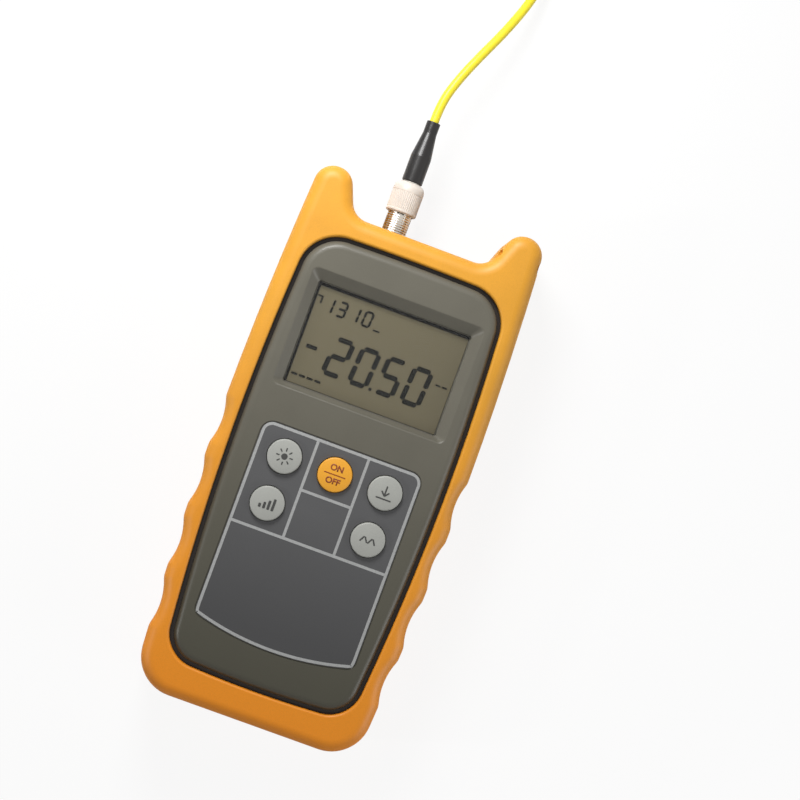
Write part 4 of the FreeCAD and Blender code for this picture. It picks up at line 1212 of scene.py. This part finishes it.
BARS = tuple(Segment)
LIT = {
    "0": [bar for bar in BARS if bar is not Segment.MIDDLE],
    "1": [Segment.HIGH_RIGHT, Segment.LOW_RIGHT],
    "2": [bar for bar in BARS if bar not in (Segment.HIGH_LEFT, Segment.LOW_RIGHT)],
    "3": [bar for bar in BARS if bar not in (Segment.HIGH_LEFT, Segment.LOW_LEFT)],
    "5": [bar for bar in BARS if bar not in (Segment.HIGH_RIGHT, Segment.LOW_LEFT)],
}


@dataclass
class DigitRow:
    """A row of slanted seven-bar digits on the display."""

    name: str
    text: str
    first_x: float
    pitch: float
    centre_y: float
    width: float
    height: float
    bar: float
    gap: float
    slant: float = 0.07
    thickness: float = 0.02

    def build(self, paint: Paintbox, z: float) -> None:
        """Model the row's lit bars and paint them."""
        upright = self.bar_piece("upright", (self.height - self.bar) / 2 - self.gap, 0.0)
        level = self.bar_piece("level", self.width - self.bar - self.gap, 90.0)
        bars = []
        for index, digit in enumerate(self.text):
            x = self.first_x + index * self.pitch
            for segment in LIT[digit]:
                pattern = upright if segment.value[2] else level
                bars.append(self.placed(pattern, segment, x, z))
        upright.drop()
        level.drop()
        row = Workpiece.joined(self.name, bars)
        row.thicken(self.thickness)
        row.finish(paint, Finish.SEGMENT, "meter", Finish.FIELD)

    def bar_piece(self, name: str, length: float, turn: float) -> Workpiece:
        """One bar with pointed ends, along Y before it is turned."""
        radius = self.bar / math.sqrt(3)
        piece = Workpiece.disc(name, radius, 6)
        with piece.editing():
            for side in (-1, 1):
                piece.pick("VERT", lambda v: v.co.y * side > 0)
                bpy.ops.transform.translate(value=(0, side * (length / 2 - radius) * MM, 0))
        piece.thing.data.transform(Matrix.Rotation(math.radians(turn), 4, "Z"))
        return piece

    def placed(self, pattern: Workpiece, segment: Segment, x: float, z: float) -> Workpiece:
        """A copy of a bar in its place, slanted with the row."""
        across, up, _ = segment.value
        dx = across * (self.width - self.bar) / 2
        dy = up * (self.height - self.bar) / 2
        slope = Matrix.Identity(4)
        slope[0][1] = self.slant
        placement = Matrix.Translation((x, self.centre_y, z)) @ slope @ Matrix.Translation((dx, dy, 0))
        return pattern.copy(f"{self.name}_{segment.name.lower()}", placement)


@dataclass
class DisplayMarks:
    """What the liquid crystal display shows: two rows of numbers, a minus, a point and small marks."""

    lift: float = 0.03
    mark_thickness: float = 0.02
    # Dark seal round the field; its strips above and on the left are widened as painted shadow of the
    # recess.
    seal_and_shadow_thickness: float = 0.05
    seal_and_shadow_inner: Span = ((-24.6, 18.4), (25.2, 50.4))
    seal_and_shadow_outer: Span = ((-25.6, 18.0), (25.6, 51.6))

    def build(self, paint: Paintbox) -> None:
        """Model every mark on the display's glass."""
        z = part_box("display_glass")[1].z / MM + self.lift
        for row in self.rows():
            row.build(paint, z)
        for name, spans, thickness in (
            ("display_marks", self.blocks(), self.mark_thickness),
            # Dark seal with painted shadow above and left of the field.
            ("display_seal", self.surround(), self.seal_and_shadow_thickness),
        ):
            piece = Workpiece.panels(name, spans, z)
            piece.thicken(thickness)
            piece.finish(paint, Finish.SEGMENT, "meter", Finish.FIELD)

    @staticmethod
    def rows() -> tuple[DigitRow, DigitRow]:
        """The large reading and the small wavelength over it."""
        reading = DigitRow(
            "reading_digits",
            "2050",
            first_x=-11.6,
            pitch=8.8,
            centre_y=30.6,
            width=7.1,
            height=13.0,
            bar=1.65,
            gap=0.5,
        )
        wavelength = DigitRow(
            "wavelength_digits",
            "1310",
            first_x=-20.0,
            pitch=4.3,
            centre_y=45.3,
            width=3.2,
            height=5.4,
            bar=0.8,
            gap=0.14,
        )
        return reading, wavelength

    def surround(self) -> list[Span]:
        """Corners of the dark seal round the field, widened above it and on its left as painted shadow.
        """
        (left, low), (right, high) = self.seal_and_shadow_inner
        (out_left, out_low), (out_right, out_high) = self.seal_and_shadow_outer
        return [
            ((out_left, out_low), (left, out_high)),
            ((right, out_low), (out_right, out_high)),
            ((left, out_low), (right, low)),
            ((left, high), (right, out_high)),
        ]

    @staticmethod
    def blocks() -> list[Span]:
        """Lowest and highest corners of the minus, the point and the small marks."""
        minus = ((-22.5, 30.3), (-18.9, 31.6))
        point = ((0.7, 24.3), (1.7, 25.3))
        foot = [((low, 20.9), (low + 2.0, 21.7)) for low in (-24.0 + i * 2.6 for i in range(4))]
        unit = [((low, 33.0), (low + 1.7, 33.6)) for low in (20.2, 22.4)]
        dash = ((-4.4, 42.4), (-2.2, 43.0))
        corner = [((-24.4, 46.9), (-22.6, 47.5)), ((-23.2, 44.9), (-22.6, 46.9))]
        return [minus, point, *foot, *unit, dash, *corner]


class Stroke(Enum):
    """Strokes that a pictogram is drawn with."""

    BAR = "bar"
    DISC = "disc"
    WORD = "word"


@dataclass(frozen=True)
class Mark:
    """One stroke: its middle on the key, its size, its turn and, for a word, its letters."""

    stroke: Stroke
    place: Pair
    size: Pair
    turn: float = 0.0
    text: str = ""


def rays(inner: float, outer: float, count: int) -> list[Mark]:
    """Short bars that point away from a key's middle."""
    middle = (inner + outer) / 2
    marks = []
    for bearing in (360 * index / count for index in range(count)):
        angle = math.radians(bearing)
        place = (middle * math.cos(angle), middle * math.sin(angle))
        marks.append(Mark(Stroke.BAR, place, (outer - inner, 0.42), bearing))
    return marks


def rising_bars(foot: float, *bars: Pair) -> list[Mark]:
    """Upright bars on one line, each given by its place across and its height."""
    return [Mark(Stroke.BAR, (x, foot + tall / 2), (tall, 0.85), 90.0) for x, tall in bars]


def zigzag(reach: float, count: int) -> list[Mark]:
    """Bars that lean one way and the other in turn."""
    places = [(2 * index - count + 1) * reach for index in range(count)]
    turns = [60.0 if index % 2 == 0 else -60.0 for index in range(count)]
    return [Mark(Stroke.BAR, (x, -0.1), (2.1, 0.48), turn) for x, turn in zip(places, turns)]


GLYPHS = {
    "light_key": [Mark(Stroke.DISC, (0, 0), (1.0, 1.0)), *rays(1.65, 2.75, 8)],
    "power_key": [
        Mark(Stroke.WORD, (0, 2.1), (0, 2.7), text="ON"),
        Mark(Stroke.BAR, (0, 0), (7.0, 0.32)),
        Mark(Stroke.WORD, (0, -2.1), (0, 2.7), text="OFF"),
    ],
    "reference_key": [
        Mark(Stroke.BAR, (0, -1.9), (5.0, 0.45)),
        Mark(Stroke.BAR, (0, 0.75), (3.2, 0.5), 90.0),
        Mark(Stroke.BAR, (-0.62, -0.25), (1.9, 0.5), -48.0),
        Mark(Stroke.BAR, (0.62, -0.25), (1.9, 0.5), 48.0),
    ],
    "units_key": rising_bars(-1.85, (-2.1, 1.3), (-0.7, 2.1), (0.7, 3.0), (2.1, 3.9)),
    "wavelength_key": zigzag(0.65, 4),
}


@dataclass
class KeyPrint:
    """Pictograms printed on the keys' shallow crowns, each riding on its own key."""

    thickness: float = 0.03
    lift: float = 0.02
    drop_height: float = 0.2
    corner_share: float = 0.3
    cuts: int = 4

    def build(self, caps: dict[str, Workpiece], paint: Paintbox) -> None:
        """Model, lay on and paint the print of every key."""
        for key, marks in GLYPHS.items():
            middle = middle_of(key)
            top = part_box(key)[1].z / MM
            named = [(f"{key}_mark_{i}", mark) for i, mark in enumerate(marks)]
            strokes = [self.stroke(name, mark, middle, top) for name, mark in named]
            glyph = Workpiece.joined(f"{key}_print", strokes)
            self.lay_on(glyph, caps[key].thing)
            ink = Finish.POWER_INK if key == "power_key" else Finish.KEY_INK
            glyph.finish(paint, ink, key, cap_finish(key))

    def stroke(self, name: str, mark: Mark, middle: Vector, top: float) -> Workpiece:
        """One flat stroke over its key."""
        if mark.stroke is Stroke.WORD:
            piece = Workpiece.word(name, mark.text, mark.size[1])
        elif mark.stroke is Stroke.DISC:
            piece = Workpiece.disc(name, mark.size[0], 24)
        else:
            half = (mark.size[0] / 2, mark.size[1] / 2)
            piece = Workpiece.panel(name, (-half[0], -half[1]), half, 0)
            with piece.editing():
                bpy.ops.mesh.select_all(action="SELECT")
                corner = self.corner_share * mark.size[1] * MM
                bpy.ops.mesh.bevel(offset=corner, segments=3, affect="VERTICES")
        x, y = middle.x + mark.place[0], middle.y + mark.place[1]
        piece.shift(move(x, y, top + self.drop_height, mark.turn))
        return piece

    def lay_on(self, glyph: Workpiece, key: bpy.types.Object) -> None:
        """Cut the flat print small, drop it onto the crown and give it its thickness."""
        middle = sum((Vector(corner) for corner in key.bound_box), Vector()) / 8
        with glyph.editing():
            for step in range(-self.cuts, self.cuts + 1):
                for way in (Vector((1, 0, 0)), Vector((0, 1, 0))):
                    glyph.cut(middle + way * step * MM, way)
        glyph.modify(
            "SHRINKWRAP",
            target=key,
            wrap_method="PROJECT",
            use_project_z=True,
            use_negative_direction=True,
            use_positive_direction=False,
            offset=self.lift * MM,
        )
        glyph.thicken(self.thickness)


@dataclass
class FibreLead:
    """Yellow fibre lead: from the plug down to the table, into a tied coil and on to a loose plug."""

    diameter: float = 3.0
    length: float = 1000.0
    start_y: float = 112.8
    straight: float = 6.4
    bends: tuple[Point, ...] = (
        (-6.6, 14.7, 15.6),
        (-2.6, 24.7, 14.2),
        (2.8, 36.7, 11.2),
        (7.4, 49.7, 7.2),
        (9.9, 63.2, 3.6),
        (10.4, 76.7, 1.9),
        (10.4, 88.0, 1.55),
    )
    tail: tuple[Point, ...] = ((38.4, 114.6, 7.2), (42.4, 113.7, 5.9), (46.5, 113.2, 5.15))
    coil_centre: Pair = (30.0, 95.2)
    middle_radius: float = 16.5
    pitch: float = 3.06
    points_per_turn: int = 16
    change_angle: float = 33.0
    first_change: float = 325.0
    last_part: float = 90.0
    table_gap: float = 0.02

    def cells(self) -> list[Pair]:
        """(radius, height) of each turn's section in winding order: round the ring, then its middle."""
        grid = [(2, 0), (1, 0), (0, 0), (0, 1), (0, 2), (1, 2), (1, 1), (2, 1), (2, 2)]
        low = self.diameter / 2 + self.table_gap
        return [(self.middle_radius + (i - 1) * self.pitch, low + j * self.pitch) for i, j in grid]

    def turn_section(self, degrees: float) -> Pair:
        """(radius, height) of the lead after it has been wound through an angle.

        Each turn shifts to the next cell a little before the turn under it does, so that no
        two turns are in one place.
        """
        cells = self.cells()
        turn = int(degrees // 360)
        if turn + 1 >= len(cells):
            return cells[-1]
        start = self.first_change - turn * self.change_angle
        share = min(max((degrees - 360 * turn - start) / self.change_angle, 0.0), 1.0)
        ease = share * share * (3 - 2 * share)
        here, after = cells[turn], cells[turn + 1]
        return (here[0] + (after[0] - here[0]) * ease, here[1] + (after[1] - here[1]) * ease)

    def coil(self) -> list[Point]:
        """Points of the wound turns, clockwise from the ring's left side to its far side."""
        spread = 1 / math.cos(math.pi / self.points_per_turn)
        x, y = self.coil_centre
        step = 360 / self.points_per_turn
        count = round((360 * (len(self.cells()) - 1) + self.last_part) / step)
        points = []
        for index in range(count + 1):
            radius, height = self.turn_section(index * step)
            bearing = math.radians(180 - index * step)
            across, up = radius * spread * math.cos(bearing), radius * spread * math.sin(bearing)
            points.append((x + across, self.start_y + y + up, height))
        return points

    def route(self, exit_x: float, exit_z: float) -> list[Point]:
        """Every point of the lead, from the strain relief to the loose plug."""
        head = [(exit_x, self.start_y, exit_z), (exit_x, self.start_y + self.straight, exit_z)]
        down = [(x, self.start_y + y, z) for x, y, z in self.bends]
        tail = [(x, self.start_y + y, z) for x, y, z in self.tail]
        return head + down + self.coil() + tail

    def build(self, paint: Paintbox) -> None:
        low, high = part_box("plug_strain_relief")
        exit_point = ((low.x + high.x) / 2 / MM, high.y / MM, (low.z + high.z) / 2 / MM)
        points = self.route(exit_point[0], exit_point[2])
        curve = bpy.data.curves.new("fibre_cord", "CURVE")
        curve.dimensions = "3D"
        curve.bevel_depth = self.diameter / 2 * MM
        curve.bevel_resolution = 4
        curve.resolution_u = 5
        curve.use_fill_caps = True
        spline = curve.splines.new("NURBS")
        spline.points.add(len(points) - 1)
        for slot, point in zip(spline.points, points):
            slot.co = (*metres(point), 1.0)
        spline.order_u = 3
        spline.use_endpoint_u = True
        lead = link(bpy.data.objects.new("fibre_cord", curve))
        curve.materials.append(paint[Finish.JACKET])
        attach(lead, "meter")
        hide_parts("fibre_lead", "fibre_coil", "fibre_tail")
        LOG.info("fibre_cord: %d points", len(points))


@dataclass
class Studio:
    """Pale table, soft light from the upper left, and the camera."""

    camera_place: Point = (-20.09, 11.9, 659.41)
    camera_turn: Point = (0.123, -3.076, 20.244)
    lens: float = 90.0
    sensor: float = 36.0
    farthest: float = 20.0
    table_half: float = 2500.0
    table_glow: float = 0.89
    sky: float = 0.13
    table_drop: float = 0.2
    lamps: tuple[tuple[str, Point, float, float], ...] = (
        ("key_light", (-110, 225, 210), 120, 0.92),
        ("rim_light", (-520, -260, 330), 50, 0.8),
        ("fill_light", (500, -120, 230), 300, 1.0),
    )

    def build(self) -> None:
        """Set up the table, the lights, the world and the camera."""
        self.table()
        self.world()
        for lamp in self.lamps:
            self.lamp(*lamp)
        self.camera()
        bpy.context.scene.view_settings.view_transform = "Standard"

    def table(self) -> None:
        """Pale floor that shows white to the camera and keeps the shadow."""
        Workpiece.clear()
        place = (0, 0, -self.table_drop * MM)
        bpy.ops.mesh.primitive_plane_add(size=2 * self.table_half * MM, location=place)
        floor = bpy.context.object
        floor.name = "table"
        recipe = Recipe("table_white", {"Roughness": 0.9, "Specular IOR Level": 0.1})
        ray = recipe.node("ShaderNodeLightPath").outputs["Is Camera Ray"]
        recipe.paint(Base_Color=recipe.blend(ray, shaded(WHITE, 0.8), WHITE))
        glow = recipe.node("ShaderNodeEmission", {"Color": WHITE, "Strength": 1.0})
        under = recipe.node("ShaderNodeNewGeometry").outputs["Backfacing"]
        clear = recipe.node("ShaderNodeBsdfTransparent")
        lit = recipe.mixed(recipe.maths("MULTIPLY", ray, self.table_glow), recipe.shader, glow)
        sided = recipe.mixed(recipe.maths("MULTIPLY", ray, under), lit, clear)
        recipe.feed(recipe.tree.nodes["Material Output"].inputs[0], sided.outputs[0])
        floor.data.materials.append(recipe.material)

    def world(self) -> None:
        """Even pale surroundings, white where the camera, metal or glass see them."""
        world = bpy.data.worlds.new("studio")
        bpy.context.scene.world = world
        world.use_nodes = True
        world.node_tree.nodes.clear()
        graph = Graph(world.node_tree)
        light = graph.node("ShaderNodeBackground", {"Color": WHITE, "Strength": self.sky})
        seen = graph.node("ShaderNodeBackground", {"Color": WHITE, "Strength": 1.0})
        path = graph.node("ShaderNodeLightPath").outputs
        share = path["Is Camera Ray"]
        for ray in ("Is Glossy Ray", "Is Transmission Ray"):
            share = graph.maths("ADD", share, path[ray], use_clamp=True)
        graph.node("ShaderNodeOutputWorld", {0: graph.mixed(share, light, seen).outputs[0]})

    @staticmethod
    def lamp(name: str, place: Point, size: float, power: float) -> None:
        """Square soft light that points at the meter's middle."""
        data = bpy.data.lights.new(name, "AREA")
        data.size = size * MM
        data.energy = power
        lamp = link(bpy.data.objects.new(name, data))
        lamp.location = metres(place)
        lamp.rotation_euler = (-metres(place)).to_track_quat("-Z", "Y").to_euler()

    def camera(self) -> None:
        """Camera over the meter, turned so that the meter leans to the right."""
        data = bpy.data.cameras.new("camera")
        data.lens = self.lens
        data.sensor_width = self.sensor
        data.clip_end = self.farthest
        camera = link(bpy.data.objects.new("camera", data))
        camera.location = metres(self.camera_place)
        camera.rotation_euler = [math.radians(angle) for angle in self.camera_turn]
        bpy.context.scene.camera = camera


def main() -> None:
    """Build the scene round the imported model, one sub-assembly after another."""
    logging.basicConfig(level=logging.INFO, format="%(message)s")
    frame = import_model()
    paint = Paintbox()
    Studio().build()
    CAD_DRESS.dress(frame["nodes"], paint)
    LabelPrint().build(paint)
    DisplayMarks().build(paint)
    caps = KeyCaps().build(paint)
    KeyPrint().build(caps, paint)
    CouplingNuts().build(paint)
    DustCap().build(paint)
    CoilTie().build(paint)
    FibreLead().build(paint)
    AdapterThread().build(frame["nodes"], paint)


if __name__ == "__main__":
    main()
